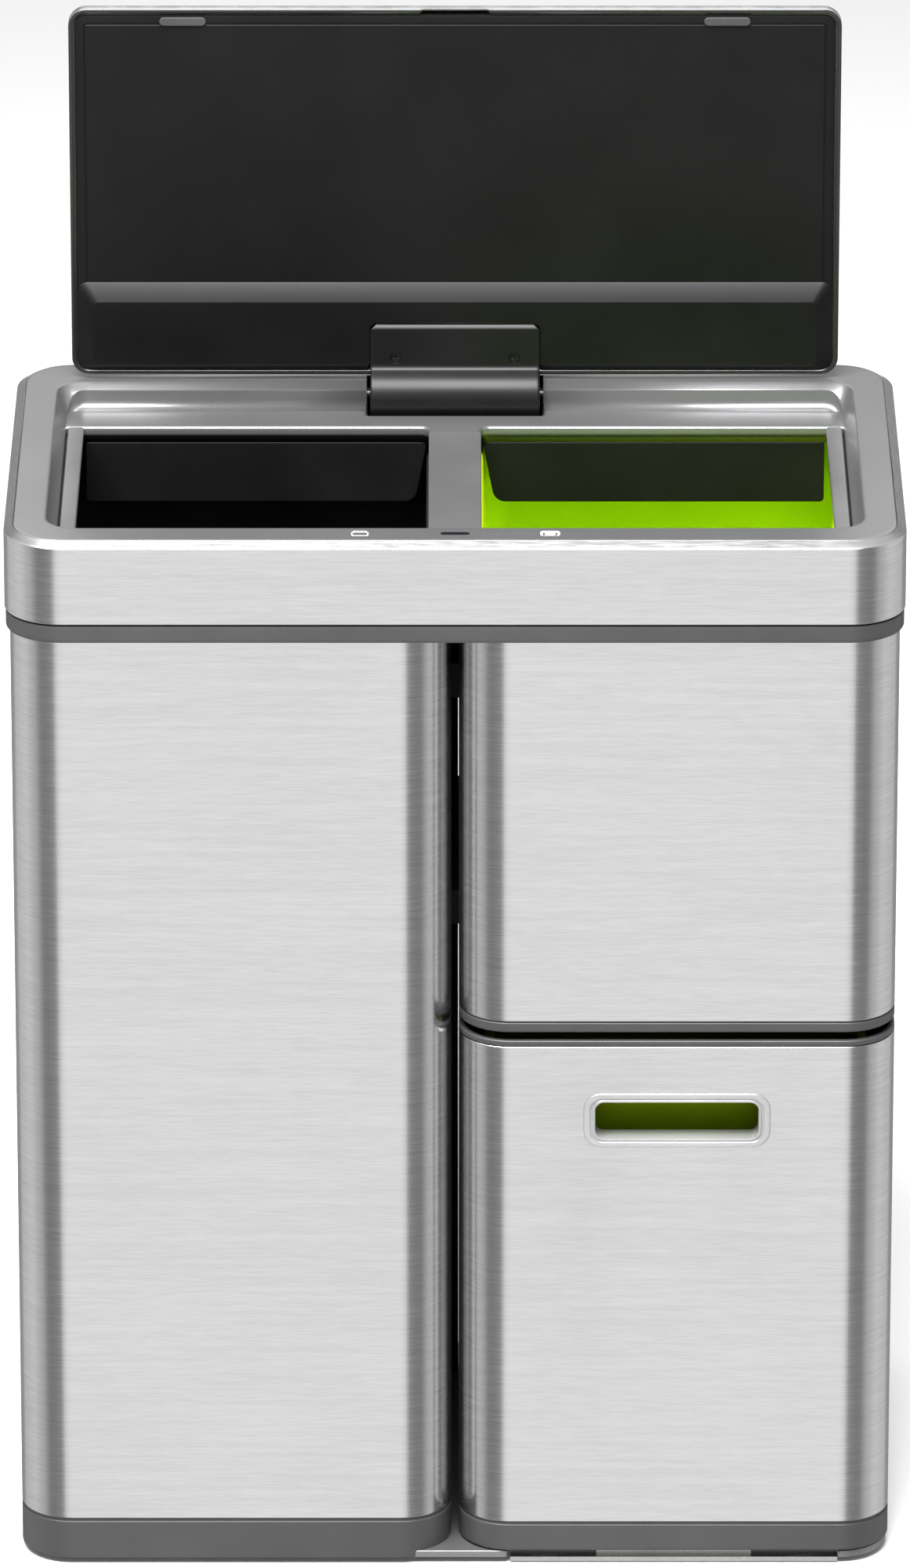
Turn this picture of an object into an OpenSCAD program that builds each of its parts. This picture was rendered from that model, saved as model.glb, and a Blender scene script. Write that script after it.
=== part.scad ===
// Three-compartment sensor recycling bin: a full-height left column, an upper right column and a lower
// right drawer under one powered lid. X runs to the right, the front faces -Y, Z is up, and the origin
// is on the floor under the middle of the bin. The lid is drawn open.

/* [Overall] */
// Width over the steel collar
body_w = 590; // [520:1:720]
// Depth over the steel collar
body_d = 345; // [300:1:420]
// Height of the rim above the floor
rim_z = 735; // [640:1:900]
// Plan radius of the collar's corners
corner_r = 38; // [34:1:48]

/* [Collar] */
// Height of the steel band and its bevel
band_h = 57; // [50:1:70]
// Width of the bevel on the band's top edge
bevel_w = 6; // [4:0.5:9]
// Height of the bevel on the band's top edge
bevel_h = 4; // [3:0.5:6]
// Width of the rim's flat land beside the recess
land_w = 21.5; // [16:0.5:26]
// Thickness of the moulded rim
rim_t = 2; // [1.6:0.1:3]
// Depth of the recess that the lid closes into
recess_h = 17; // [16.5:0.5:20]
// Extra land in front of the recess, where the sensor sits
front_land = 23; // [20:0.5:30]
// Extra land behind the recess, above the hinge
rear_land = 32; // [30:0.5:40]
// Width of the side strips and the front and rear bars of the liner frame
strip_w = 10.5; // [8:0.5:14]
// Width of the liner frame's centre bridge
bridge_w = 35; // [25:1:45]
// Depth of the ledge over the housings
ledge_d = 36; // [33:1:45]
// Height of the dark ring under the collar
ring_h = 12; // [9:1:16]

/* [Columns] */
// Gap between the two columns
column_gap = 5; // [4:0.5:8]
// How far the columns stand inside the collar
column_inset = 3.5; // [2.5:0.5:6]
// Thickness of the steel sheet
sheet = 1.2; // [1:0.1:2]
// Height of the upper compartment's underside above the floor
split_z = 388; // [330:1:450]
// Height of the dark base rings
base_ring_h = 27.5; // [20:0.5:36]
// Thickness of the base plate
plate_t = 5; // [4:0.5:7]
// Height of the feet
foot_h = 4; // [4:0.5:8]

/* [Lid] */
// Thickness of the lid
lid_t = 10; // [8:0.5:12]
// Gap between the closed lid and the recess
lid_gap = 9.5; // [8:0.5:12]
// Length of the liner's raised rear panel
panel_len = 62; // [50:1:80]
// Width of the hinge arm
arm_w = 114; // [90:1:140]
// Length of the arm plate under the lid
arm_len = 38; // [30:1:48]
// Radius of the arm's barrel about the hinge
barrel_r = 20.5; // [18:0.5:20.5]
// Radius of the hinge shaft
shaft_r = 4; // [3:0.5:5]
// Radial running clearance of the hinge and drive shafts
run_clear = 0.05; // [0.02:0.01:0.1]
// Teeth of the gear on the hinge shaft
lid_teeth = 14; // [12:1:14]
// Teeth of the gearmotor's gear
drive_teeth = 18; // [14:1:18]

/* [Drawer] */
// Gap over the drawer
drawer_gap = 6; // [4:0.5:10]
// Depth of the fixed back behind the drawer
back_d = 23; // [20:1:40]
// Width of the hand opening
window_w = 108; // [90:1:130]
// Height of the hand opening
window_h = 25.7; // [22:0.1:34]
// Corner radius of the hand opening
window_r = 6; // [4:0.5:10]
// Width of the bezel's flange round the hand opening
bezel_rim = 6.4; // [4:0.2:9]
// Depth of the bezel's sleeve
bezel_depth = 15; // [10:0.5:20]
// Distance from the drawer's top to the middle of the hand opening
window_drop = 57; // [45:1:80]

/* [Buckets] */
// Wall of the buckets
bucket_wall = 2; // [1.6:0.1:3]
// Width of the buckets' rolled rims
bucket_rim = 4; // [3:0.5:6]
// Inward taper of a bucket's foot on each side
bucket_taper = 8; // [4:1:14]
// Free space over the buckets, under the collar's tray
bucket_play = 4; // [3:0.5:8]

/* [Hidden] */
$fn = 64;
gap = 0.3;   // clearance between pieces that move past each other
fit = 0.2;   // clearance between pieces fixed to each other
over = 1;    // how far a cutting shape runs past the face it opens

// Columns
half_w = body_w / 2;
half_d = body_d / 2;
col_w = half_w - column_inset - column_gap / 2;
col_d = body_d - 2 * column_inset;
col_r = corner_r - column_inset - 0.5;
col_x = column_gap / 2 + col_w / 2;
joint_h = 2.5;   // height of the dark joint over a base ring
joint_in = 1;    // how far the joints lie behind the steel
plate_in = 1.5;  // how far the base plate and the rear panel's core lie inside a column's outline
tongue_h = 12;   // reach of the rings' tongues into the steel shells
ring_lap = 4.5;  // how far the top ring covers a column from its outline inwards
plate_top = foot_h + plate_t;
shell_z0 = foot_h + base_ring_h + joint_h;
upper_ring_h = 6.7;
upper_joint = 1.3;
upper_shell_z0 = split_z + upper_ring_h + upper_joint;
floor_t = 3;
ring_t = 4;

foot_r = 14;
foot_in = 45;      // distance of the feet from the collar's outline
screw_in = 17.5;   // distance of the base screws from a column's sides
joiner_h = 24;
joiner_d = col_d * 0.6;
filler_y = col_d / 2 - 49;   // front face of the strip that closes the gap between the columns
filler_t = 10;

// Collar
band_z0 = rim_z - band_h;
ring_top = band_z0 - 1;
ring_z0 = ring_top - ring_h;
ring_inset = 0.8;
rim_inset = bevel_w + 0.4;
land_z0 = rim_z - rim_t;
recess_z = rim_z - recess_h;
recess_w = body_w - 2 * (bevel_w + land_w);
recess_y0 = -(half_d - bevel_w - front_land);
recess_y1 = half_d - bevel_w - rear_land;
recess_d = recess_y1 - recess_y0;
recess_cy = (recess_y0 + recess_y1) / 2;
recess_r = 20;
recess_slant = 6.5;   // how far the recess walls lean inwards
frame_t = 6;
frame_z0 = recess_z - frame_t;
frame_inset = recess_slant + 1.5;
wall_back = 2.5;    // thickness of the recess's front and side walls
shelf_w = 6;        // width of the shelf under the liner frame
shelf_t = 2.5;
shell_lap = 2;      // height of the lap between the rim and the collar's frame
ledge_y1 = recess_y1 - recess_slant;
ledge_y0 = ledge_y1 - ledge_d;
ledge_t = 4;
lip_h = 11;
lip_t = 2.5;
wall_t = 1.6;     // thickness of the recess's upright rear wall
wall_slope = 4;   // height of the slope above that wall
ledge_x = recess_w / 2 - recess_slant + 1;
opening_w = recess_w - 2 * (frame_inset + strip_w);
opening_y0 = recess_y0 + frame_inset + strip_w;
frame_y1 = ledge_y0 - gap;
neck_d = 9;   // how far the ledge reaches forward to meet the liner frame's bridge
lid_w = recess_w - 2 * lid_gap;
lid_d = recess_d - 2 * lid_gap;
lid_y0 = recess_cy - lid_d / 2;
lid_y1 = recess_cy + lid_d / 2;
lid_z0 = rim_z - lid_t;
lid_r = 12;

// Hinge and drive
hinge_back = 13.5;   // distance of the hinge behind the closed lid
hinge_drop = 10.5;   // depth of the hinge under the rim
pocket_front = 3.5;  // room in front of the barrel
pocket_rear = 7.5;   // room behind the hinge
hinge_y = lid_y1 + hinge_back;
hinge_z = rim_z - hinge_drop;
arm_t = 6;
arm_fillet = 5;
pocket_w = arm_w + 5;
pocket_y0 = hinge_y - barrel_r - pocket_front;
pocket_y1 = hinge_y + pocket_rear;
tooth_module = 1;
lid_pitch_r = lid_teeth * tooth_module / 2;
drive_pitch_r = drive_teeth * tooth_module / 2;
centre_dist = lid_pitch_r + drive_pitch_r + run_clear;
drive_drop = 4;
drive_y = hinge_y + sqrt(centre_dist * centre_dist - drive_drop * drive_drop);
drive_z = hinge_z - drive_drop;
drive_angle = atan2(drive_z - hinge_z, drive_y - hinge_y);
gear_w = 7;
gear_x = pocket_w / 2 + 2.5;
block_x = gear_x + gear_w + 2;
block_l = 10;
block_back = 8.5;   // reach of the bearing blocks behind the hinge
bush_r = shaft_r + 2;
drive_shaft_r = 2.5;
gearbox_x = block_x + block_l + 2;
tray_top = hinge_z - barrel_r - 1;
tray_t = 1.5;
gearbox_l = 22;
motor_l = 36;
tray_x = gearbox_x + gearbox_l + motor_l + 4;

// Housings under the ledge
house_x0 = bridge_w / 2 + 1;
house_x1 = opening_w / 2 - 1;
house_x = (house_x0 + house_x1) / 2;
house_h = 43;
house_z1 = recess_z - lip_h;
house_z0 = house_z1 - house_h;
house_y0 = ledge_y0;
house_d = 32;
house_wall = 2;
house_slant = 7;   // how far a housing's inner end leans
house_cut = 6;     // size of the cut on its lower corner
cell_r = 13.1;
cell_l = 50;

// Buckets
bucket_top = tray_top - tray_t - bucket_play;
bucket_in = 22.5;   // distance of the buckets from the collar's front and rear
bucket_x0 = 13;
bucket_x1 = recess_w / 2 - 5.5;
bucket_w = bucket_x1 - bucket_x0;
bucket_y1 = half_d - bucket_in;
bucket_y0 = -bucket_y1;
bucket_x = (bucket_x0 + bucket_x1) / 2;
bucket_y = (bucket_y0 + bucket_y1) / 2;
bucket_r = 26;

// Drawer
drawer_y0 = -col_d / 2;
back_y0 = col_d / 2 - back_d;
drawer_y1 = back_y0 - 3;
drawer_top = split_z - drawer_gap;
drawer_trim_h = 3.7;
drawer_trim_joint = 0.8;
drawer_shell_z1 = drawer_top - drawer_trim_h - drawer_trim_joint;
drawer_ring_z0 = plate_top + 1;
drawer_ring_z1 = plate_top + 20;
drawer_shell_z0 = drawer_ring_z1 + 2.4;
drawer_rear_r = 6;
window_z = drawer_top - window_drop;
bezel_front = 1.2;   // how far the bezel stands in front of the steel
sleeve_t = 3;        // wall of the bezel's sleeve
finger_gap = 20;          // room for fingers between the bezel's sleeve and the bucket
drawer_bucket_y0 = drawer_y0 + bezel_depth + finger_gap;
drawer_bucket_y1 = drawer_y1 - 8;
drawer_bucket_in = 17.5;  // distance of the drawer's bucket from the drawer's sides
bucket_drop = 22;         // depth of the drawer's bucket under the drawer's top
notch_half = 0.38 * col_w;   // half width of the notch under the drawer's front
notch_x0 = col_x - notch_half;
notch_x1 = col_x + notch_half;
notch_clear = 2;
notch_depth = 14;

// Slides
rail_w = 16;
rail_wall = 2;
rail_h = 9;
rail_spread = 0.3 * col_w;
rail_x = [col_x - rail_spread, col_x + rail_spread];
rail_front = 19;   // distance of the rails behind the drawer's front
rail_short = 15;   // how much shorter than the rails the moving slides are
rail_y0 = drawer_y0 + rail_front;
rail_y1 = drawer_y1 - 5;
floor_z0 = rail_h + plate_top + 10;
runner_z0 = floor_z0 - rail_h;

dark = [0.25, 0.25, 0.26];
black = [0.08, 0.08, 0.085];
satin = [0.60, 0.60, 0.61];
steel = [0.82, 0.82, 0.83];
green = [0.55, 0.80, 0.02];

// ---- shared shapes -------------------------------------------------------------------------------

// Rounded rectangle about the origin, with true arcs
module rounded(w, d, r) {
    square([w - 2 * r, d], center = true);
    square([w, d - 2 * r], center = true);
    for (x = [-1, 1], y = [-1, 1])
        translate([x * (w / 2 - r), y * (d / 2 - r)]) circle(r);
}

// Rounded rectangle with its own front and rear corner radii
module rounded_box(w, y0, y1, front_r, rear_r) {
    translate([-w / 2, y0 + front_r]) square([w, y1 - y0 - front_r - rear_r]);
    translate([-w / 2 + front_r, y0]) square([w - 2 * front_r, front_r]);
    translate([-w / 2 + rear_r, y1 - rear_r]) square([w - 2 * rear_r, rear_r]);
    for (x = [-1, 1]) {
        translate([x * (w / 2 - front_r), y0 + front_r]) circle(front_r);
        translate([x * (w / 2 - rear_r), y1 - rear_r]) circle(rear_r);
    }
}

// Straight tube on a rounded rectangle, from z0 to z1, with wall t
module tube(w, d, r, t, z0, z1)
    translate([0, 0, z0]) linear_extrude(z1 - z0) difference() {
        rounded(w, d, r);
        rounded(w - 2 * t, d - 2 * t, r - t);
    }

// Carries a profile round a rounded rectangle; the profile's x = 0 is the outline, and x grows outwards.
// The straight runs are right, rear, left and front, 0 to 3; all four corners are always made.
module sweep(w, d, r, runs = [0 : 3])
    for (side = [0 : 3]) {
        across = side % 2 == 0 ? w : d;
        along = side % 2 == 0 ? d : w;
        rotate(90 * side) {
            for (run = runs) if (run == side)
                translate([across / 2, along / 2 - r, 0]) rotate([90, 0, 0])
                    linear_extrude(along - 2 * r) children();
            translate([across / 2 - r, along / 2 - r, 0])
                rotate_extrude(angle = 90) translate([r, 0]) children();
        }
    }

// Runs a profile drawn in Y and Z along X, from x0 to x1
module along_x(x0, x1)
    translate([x0, 0, 0]) rotate([90, 0, 90]) linear_extrude(x1 - x0) children();

// Runs a profile drawn in X and Z along Y, from y0 to y1
module along_y(y0, y1)
    translate([0, y1, 0]) rotate([90, 0, 0]) linear_extrude(y1 - y0) children();

// Box between two corners
module block(low, high) translate(low) cube(high - low);

// Turns what is drawn closed to the lid's open place
module open_pose()
    translate([0, hinge_y, hinge_z]) rotate([-90, 0, 0]) translate([0, -hinge_y, -hinge_z]) children();

// Draws a shape for the left column and again for the right
module both_columns() for (side = [-1, 1]) translate([side * col_x, 0, 0]) children();

// Involute angle at a given radius, in degrees
function involute(base, radius) =
    let (t = sqrt(max(0, pow(radius / base, 2) - 1))) t * 180 / PI - atan(t);

// Outline of a spur gear with short teeth and backlash: each flank follows its involute in four steps
function gear_points(teeth) =
    let (
        pitch = teeth * tooth_module / 2,
        base = pitch * cos(20),
        root = pitch - 1.25 * tooth_module,
        tip = pitch + 0.85 * tooth_module,
        half = 90 / teeth - 0.09 / pitch * 180 / PI + involute(base, pitch),
        steps = [for (i = [0 : 4]) base + (tip - base) * i / 4]
    )
    [for (i = [0 : teeth - 1]) let (turn = 360 * i / teeth) each concat(
        [[root * cos(turn - half), root * sin(turn - half)]],
        [for (p = steps) let (a = turn - half + involute(base, p)) [p * cos(a), p * sin(a)]],
        [for (k = [4 : -1 : 0]) let (a = turn + half - involute(base, steps[k]))
            [steps[k] * cos(a), steps[k] * sin(a)]],
        [[root * cos(turn + half), root * sin(turn + half)]]
    )];

// A bucket standing on z0 with its rim at z1, tapering to its foot
module bucket(w, d, r, z0, z1) {
    inner_w = w - 2 * (bucket_rim + bucket_wall);
    inner_d = d - 2 * (bucket_rim + bucket_wall);
    body_wide = w - 2 * bucket_rim;
    body_deep = d - 2 * bucket_rim;
    foot = 2 * bucket_taper;
    difference() {
        union() {
            hull() {
                translate([0, 0, z0]) linear_extrude(0.01)
                    rounded(body_wide - foot, body_deep - foot, r - bucket_rim, $fn = 32);
                translate([0, 0, z1 - 0.01]) linear_extrude(0.01)
                    rounded(body_wide, body_deep, r - bucket_rim, $fn = 32);
            }
            translate([0, 0, z1 - 3]) linear_extrude(3) rounded(w, d, r);
        }
        hull() {
            translate([0, 0, z0 + floor_t]) linear_extrude(0.01)
                rounded(inner_w - foot, inner_d - foot, r - bucket_rim - bucket_wall, $fn = 32);
            translate([0, 0, z1 + 1]) linear_extrude(0.01)
                rounded(inner_w, inner_d, r - bucket_rim - bucket_wall, $fn = 32);
        }
    }
}

// ---- fixed structure -----------------------------------------------------------------------------

module base_plate() color(satin) translate([0, 0, foot_h]) linear_extrude(plate_t) difference() {
    union() {
        translate([-col_x, 0])
            rounded(col_w - 2 * (ring_t + fit), col_d - 2 * (ring_t + fit), col_r - ring_t);
        translate([col_x, 0]) rounded(col_w - 2 * plate_in, col_d - 2 * plate_in, col_r - plate_in);
        square([column_gap + 2 * col_r, col_d - 2 * plate_in], center = true);
    }
    translate([notch_x0 - notch_clear, drawer_y0 - over])
        square([2 * (notch_half + notch_clear), notch_depth + over]);
}

foot_places = [for (x = [-1, 0, 1], y = [-1, 1]) [x * (half_w - foot_in), y * (half_d - foot_in)]];

module feet() color(black) for (p = foot_places)
    translate([p[0], p[1], 0]) cylinder(r = foot_r, h = foot_h);

module base_screws() color(steel) for (x = [-1, 1], side = [-1, 1], y = [-1, 1])
    translate([side * col_x + x * (col_w / 2 - screw_in), y * joiner_d * 0.43, plate_top])
        cylinder(r = 4, h = 2);

// Set-back joint on top of a base ring, and the tongue from it into the steel shell above
module joint_and_tongue(ring_z1, shell_from) {
    tube(col_w - 2 * joint_in, col_d - 2 * joint_in, col_r - joint_in, ring_t - joint_in,
        ring_z1 - over, shell_from);
    tongue(ring_t, shell_from - over, shell_from + tongue_h);
}

// Tongue inside a column's steel shell, as thick as what is left of a ring of wall t
module tongue(t, z0, z1)
    tube(col_w - 2 * (sheet + fit), col_d - 2 * (sheet + fit), col_r - sheet - fit, t - sheet - fit,
        z0, z1);

module left_base_ring() color(dark) difference() {
    translate([-col_x, 0, 0]) {
        tube(col_w, col_d, col_r, ring_t, foot_h, foot_h + base_ring_h);
        joint_and_tongue(foot_h + base_ring_h, shell_z0);
    }
    block([-column_gap / 2 - col_r - fit, -col_d, foot_h - over], [0, col_d, plate_top + fit]);
}

module left_column_shell() color(steel) translate([-col_x, 0, 0])
    tube(col_w, col_d, col_r, sheet, shell_z0, ring_z0);

module upper_base_ring() color(dark) translate([col_x, 0, 0]) {
    tube(col_w, col_d, col_r, ring_t, split_z, split_z + upper_ring_h);
    joint_and_tongue(split_z + upper_ring_h, upper_shell_z0);
}

module upper_floor_pan() color(black) translate([col_x, 0, split_z]) linear_extrude(floor_t)
    rounded(col_w - 2 * ring_t, col_d - 2 * ring_t, col_r - ring_t);

module upper_column_shell() color(steel) translate([col_x, 0, 0])
    tube(col_w, col_d, col_r, sheet, upper_shell_z0, ring_z0);

module rear_panel() color(steel) translate([col_x, 0, plate_top]) linear_extrude(split_z - plate_top)
    difference() {
        intersection() {
            rounded(col_w, col_d, col_r);
            translate([-col_w, back_y0]) square([2 * col_w, back_d + over]);
        }
        intersection() {
            rounded(col_w - 2 * plate_in, col_d - 2 * plate_in, col_r - plate_in);
            translate([-col_w, back_y0 + plate_in]) square([2 * col_w, back_d + over]);
        }
    }

joiner_z = [for (share = [0.2, 0.8]) upper_shell_z0 + share * (ring_z0 - upper_shell_z0)];

// Two plates that join the columns, and a strip that closes the gap between them from behind
module column_joiners() color(black) {
    for (z = joiner_z)
        block([-column_gap / 2, -joiner_d / 2, z - joiner_h / 2],
            [column_gap / 2, joiner_d / 2, z + joiner_h / 2]);
    block([-column_gap / 2, filler_y, plate_top], [column_gap / 2 - gap, filler_y + filler_t, ring_z0]);
}

module joiner_bolts() color(steel) for (z = joiner_z, y = [-1, 1])
    translate([column_gap / 2 + sheet, y * joiner_d * 0.4, z]) rotate([0, 90, 0]) cylinder(r = 5, h = 4);

module top_ring() color(dark) {
    translate([0, 0, ring_z0]) linear_extrude(ring_h) difference() {
        rounded(body_w - 2 * ring_inset, body_d - 2 * ring_inset, corner_r - ring_inset);
        both_columns2d() rounded(col_w - 2 * ring_lap, col_d - 2 * ring_lap, col_r - ring_lap);
    }
    both_columns() tongue(ring_lap, ring_z0 - tongue_h, ring_z0 + over);
}

module both_columns2d() for (side = [-1, 1]) translate([side * col_x, 0]) children();

module slide_rails() color(steel) for (x = rail_x) along_y(rail_y0, rail_y1) difference() {
    translate([x - rail_w / 2, plate_top]) square([rail_w, rail_h]);
    translate([x - rail_w / 2 + rail_wall, plate_top + rail_wall])
        square([rail_w - 2 * rail_wall, rail_h]);
}

// ---- collar --------------------------------------------------------------------------------------

module collar_band() color(steel) difference() {
    sweep(body_w, body_d, corner_r) polygon([
        [0, band_z0], [0, rim_z - bevel_h], [-bevel_w, rim_z], [-bevel_w, rim_z - sheet - fit],
        [-sheet, rim_z - bevel_h - 0.8], [-sheet, band_z0]
    ]);
    switch_hole(0);
}

switch_x = -body_w * 0.3;
switch_z = band_z0 + band_h * 0.4;
switch_hole_w = 18;
switch_hole_h = 9;
switch_frame = 1.5;   // width of the switch bezel's frame
switch_depth = 7;
switch_sunk = 0.3;    // how far the switch lies under the steel
switch_w = 8.4;
switch_t = 3.6;

// Opening for the power switch through the rear of the collar
module switch_hole(clear) translate([switch_x, half_d, switch_z])
    cube([switch_hole_w + 2 * clear, 30, switch_hole_h + 2 * clear], center = true);

module switch_bezel() color(black) difference() {
    translate([switch_x, half_d - switch_sunk - switch_depth / 2, switch_z])
        cube([switch_hole_w - fit, switch_depth, switch_hole_h - fit], center = true);
    translate([switch_x, half_d, switch_z])
        cube([switch_hole_w - 2 * switch_frame, switch_depth + over, switch_hole_h - 2 * switch_frame],
            center = true);
}

switch_travel = 6;

module power_switch() color(dark)
    translate([switch_x - switch_travel / 2, half_d - switch_sunk - switch_t / 2, switch_z])
        cube([switch_w, switch_t, switch_hole_h - 2 * switch_frame - 2 * gap], center = true);

collar_in = sheet + 0.1;   // how far the collar's frame lies inside its steel band
collar_wall = 3;
shell_top = rim_z - bevel_h - shell_lap;

module collar_frame() color(dark) difference() {
    sweep(body_w, body_d, corner_r) polygon([
        [-collar_in, ring_top], [-collar_in, shell_top],
        [-rim_inset - collar_wall - over, shell_top],
        [-rim_inset - collar_wall - over, shell_top - shell_lap],
        [-collar_in - collar_wall, shell_top - shell_lap], [-collar_in - collar_wall, ring_top]
    ]);
    switch_hole(0.5);
}

module top_rim() color(satin) difference() {
    union() {
        translate([0, 0, land_z0]) linear_extrude(rim_t) difference() {
            rounded(body_w - 2 * rim_inset, body_d - 2 * rim_inset, corner_r - rim_inset);
            translate([0, recess_cy]) rounded(recess_w, recess_d, recess_r);
        }
        tube(body_w - 2 * rim_inset, body_d - 2 * rim_inset, corner_r - rim_inset, shell_lap,
            shell_top, land_z0 + over);
        translate([0, recess_cy, 0]) sweep(recess_w, recess_d, recess_r, [0, 2, 3]) polygon([
            [0, rim_z], [-recess_slant, recess_z], [-recess_slant, frame_z0],
            [-recess_slant - shelf_w, frame_z0], [-recess_slant - shelf_w, frame_z0 - shelf_t],
            [wall_back - recess_slant, frame_z0 - shelf_t], [wall_back - recess_slant, recess_z],
            [rim_t, land_z0], [rim_t, rim_z]
        ]);
        along_x(recess_r - recess_w / 2, recess_w / 2 - recess_r) ledge_outline();
        block([-ledge_x, ledge_y0 + over, recess_z - ledge_t], [ledge_x, ledge_y1 + over, recess_z]);
        block([-bridge_w / 2, ledge_y0 - neck_d, recess_z - lip_h],
            [bridge_w / 2, ledge_y0 + lip_t + over, recess_z]);
    }
    block([-pocket_w / 2, pocket_y0, frame_z0 - 10], [pocket_w / 2, pocket_y1, rim_z + over]);
    translate([0, 0, rim_z - print_depth]) linear_extrude(2) {
        sensor_outline(0.1);
        line_outlines(0.1);
        icon_outlines(0.05);
    }
}

// Rear wall, fillet, ledge and lip of the recess, in Y and Z
module ledge_outline() {
    polygon([
        [ledge_y1, recess_z - ledge_t], [ledge_y1, rim_z - wall_slope], [recess_y1, rim_z],
        [recess_y1 + rim_t, rim_z], [recess_y1 + rim_t, land_z0], [recess_y1 + 0.9, land_z0],
        [ledge_y1 + wall_t, rim_z - wall_slope - 1.5], [ledge_y1 + wall_t, recess_z - ledge_t]
    ]);
    translate([ledge_y0 + lip_t, recess_z - ledge_t]) square([ledge_d - lip_t + 0.5, ledge_t]);
    translate([ledge_y0, recess_z - lip_h]) square([lip_t, lip_h - lip_t]);
    translate([ledge_y0 + lip_t, recess_z - lip_t]) circle(lip_t);
    translate([ledge_y1 - 6, recess_z]) difference() {
        square([6.5, 6]);
        translate([0, 5.8]) circle(6);
    }
}

print_depth = 0.8;   // depth of the pockets for the sensor and the marks
print_t = 0.85;      // thickness of the marks
sensor_y = -(half_d - bevel_w) + front_land * 0.55;
sensor_w = 21.6;
sensor_d = 7.8;
line_w = 11;
line_d = 0.9;
icon_w = 12.6;
icon_d = 9;
icon_line = 1;
icon_x = 62;
line_x = [24, 42];

module sensor_outline(clear) translate([0, sensor_y])
    rounded(sensor_w + 2 * clear, sensor_d + 2 * clear, sensor_d / 2 + clear - 0.01);

module line_outlines(clear) for (side = [-1, 1], x = line_x) translate([side * x, sensor_y])
    square([line_w + 2 * clear, line_d + 2 * clear], center = true);

module icon_outlines(clear) for (side = [-1, 1]) translate([side * icon_x, sensor_y])
    difference() {
        square([icon_w + 2 * clear, icon_d + 2 * clear], center = true);
        square([icon_w - 2 * (icon_line + clear), icon_d - 2 * (icon_line + clear)], center = true);
    }

module sensor_window() color(black) translate([0, 0, rim_z - print_depth]) linear_extrude(0.9)
    sensor_outline(0);

module indicator_lines() color(dark) translate([0, 0, rim_z - print_depth]) linear_extrude(print_t)
    line_outlines(0);

module touch_icons() color([0.95, 0.95, 0.95]) translate([0, 0, rim_z - print_depth]) linear_extrude(print_t)
    icon_outlines(0);

// Outline of a housing in X and Z: its inner end leans and has a cut corner, its outer end is upright
module house_outline(in)
    polygon([
        [house_x0 + in, house_z1], [house_x1 - in, house_z1], [house_x1 - in, house_z0 + in],
        [house_x0 + house_slant + house_cut + in, house_z0 + in],
        [house_x0 + house_slant + in, house_z0 + house_cut + in]
    ]);

module housing_body() difference() {
    along_y(house_y0, house_y0 + house_d) house_outline(0);
    along_y(house_y0 + house_wall, house_y0 + house_d - house_wall) translate([0, 0.01])
        house_outline(house_wall);
}

cells = 4;
cell_pitch = cell_l + 0.6;
cover_w = 0.86 * (cells * cell_l + 4);
cover_t = 2.4;

module housing_left() color(black) mirror([1, 0, 0]) housing_body();

module housing_right() color(black) difference() {
    housing_body();
    cover_cut(gap / 2);
}

// Opening in the right housing's underside for its cover
module cover_cut(clear) translate([house_x, house_y0 + house_d / 2, house_z0 + 0.9])
    cube([cover_w + 2 * clear, house_d - 8 + 2 * clear, cover_t], center = true);

module battery_cover() color(dark) translate([0, 0, 0.3]) cover_cut(-gap / 2);

module battery_cells() color([0.75, 0.6, 0.2]) for (i = [0 : cells - 1])
    translate([house_x + (i - (cells - 1) / 2) * cell_pitch - cell_l / 2, house_y0 + house_d / 2,
        house_z0 + 3.5 + cell_r]) rotate([0, 90, 0]) cylinder(r = cell_r, h = cell_l);

board_in = 30;
board_t = 1.6;

module control_board() color([0.05, 0.3, 0.12]) mirror([1, 0, 0])
    block([house_x0 + board_in, house_y0 + 12, house_z0 + 6],
        [house_x1 - board_in, house_y0 + 12 + board_t, house_z1 - 4]);

module mechanism_tray() color(black) difference() {
    block([-tray_x, pocket_y0 + 6, tray_top - tray_t], [tray_x, half_d - 5, tray_top]);
    for (side = [0, 1]) mirror([side, 0, 0])
        block([house_x0 - 1, house_y0, house_z0], [house_x1 + 1, house_y0 + house_d + 1, rim_z]);
}

module gearmotor() color(dark) difference() {
    block([gearbox_x, drive_y - 12, tray_top], [gearbox_x + gearbox_l, drive_y + 7.5, drive_z + 5.5]);
    translate([gearbox_x - 1, drive_y, drive_z]) rotate([0, 90, 0])
        cylinder(r = drive_shaft_r + run_clear, h = 14);
}

module motor_can() color(steel) translate([gearbox_x + gearbox_l, drive_y, (tray_top + land_z0) / 2])
    rotate([0, 90, 0]) cylinder(r = 10, h = motor_l);

module bearing_blocks() color(dark) for (side = [0, 1]) mirror([side, 0, 0]) difference() {
    union() {
        block([block_x, ledge_y1 + wall_t + 2 * fit, tray_top],
            [block_x + block_l, hinge_y + block_back, hinge_z + 3]);
        block([block_x, hinge_y, tray_top], [block_x + block_l, hinge_y + block_back, land_z0]);
    }
    translate([block_x - 1, hinge_y, hinge_z]) rotate([0, 90, 0]) cylinder(r = bush_r, h = block_l + 2);
}

module hinge_bushes() color(satin) for (side = [0, 1]) mirror([side, 0, 0])
    translate([block_x, hinge_y, hinge_z]) rotate([0, 90, 0]) difference() {
        cylinder(r = bush_r, h = block_l);
        translate([0, 0, -1]) cylinder(r = shaft_r + run_clear, h = block_l + 2);
    }

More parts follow.
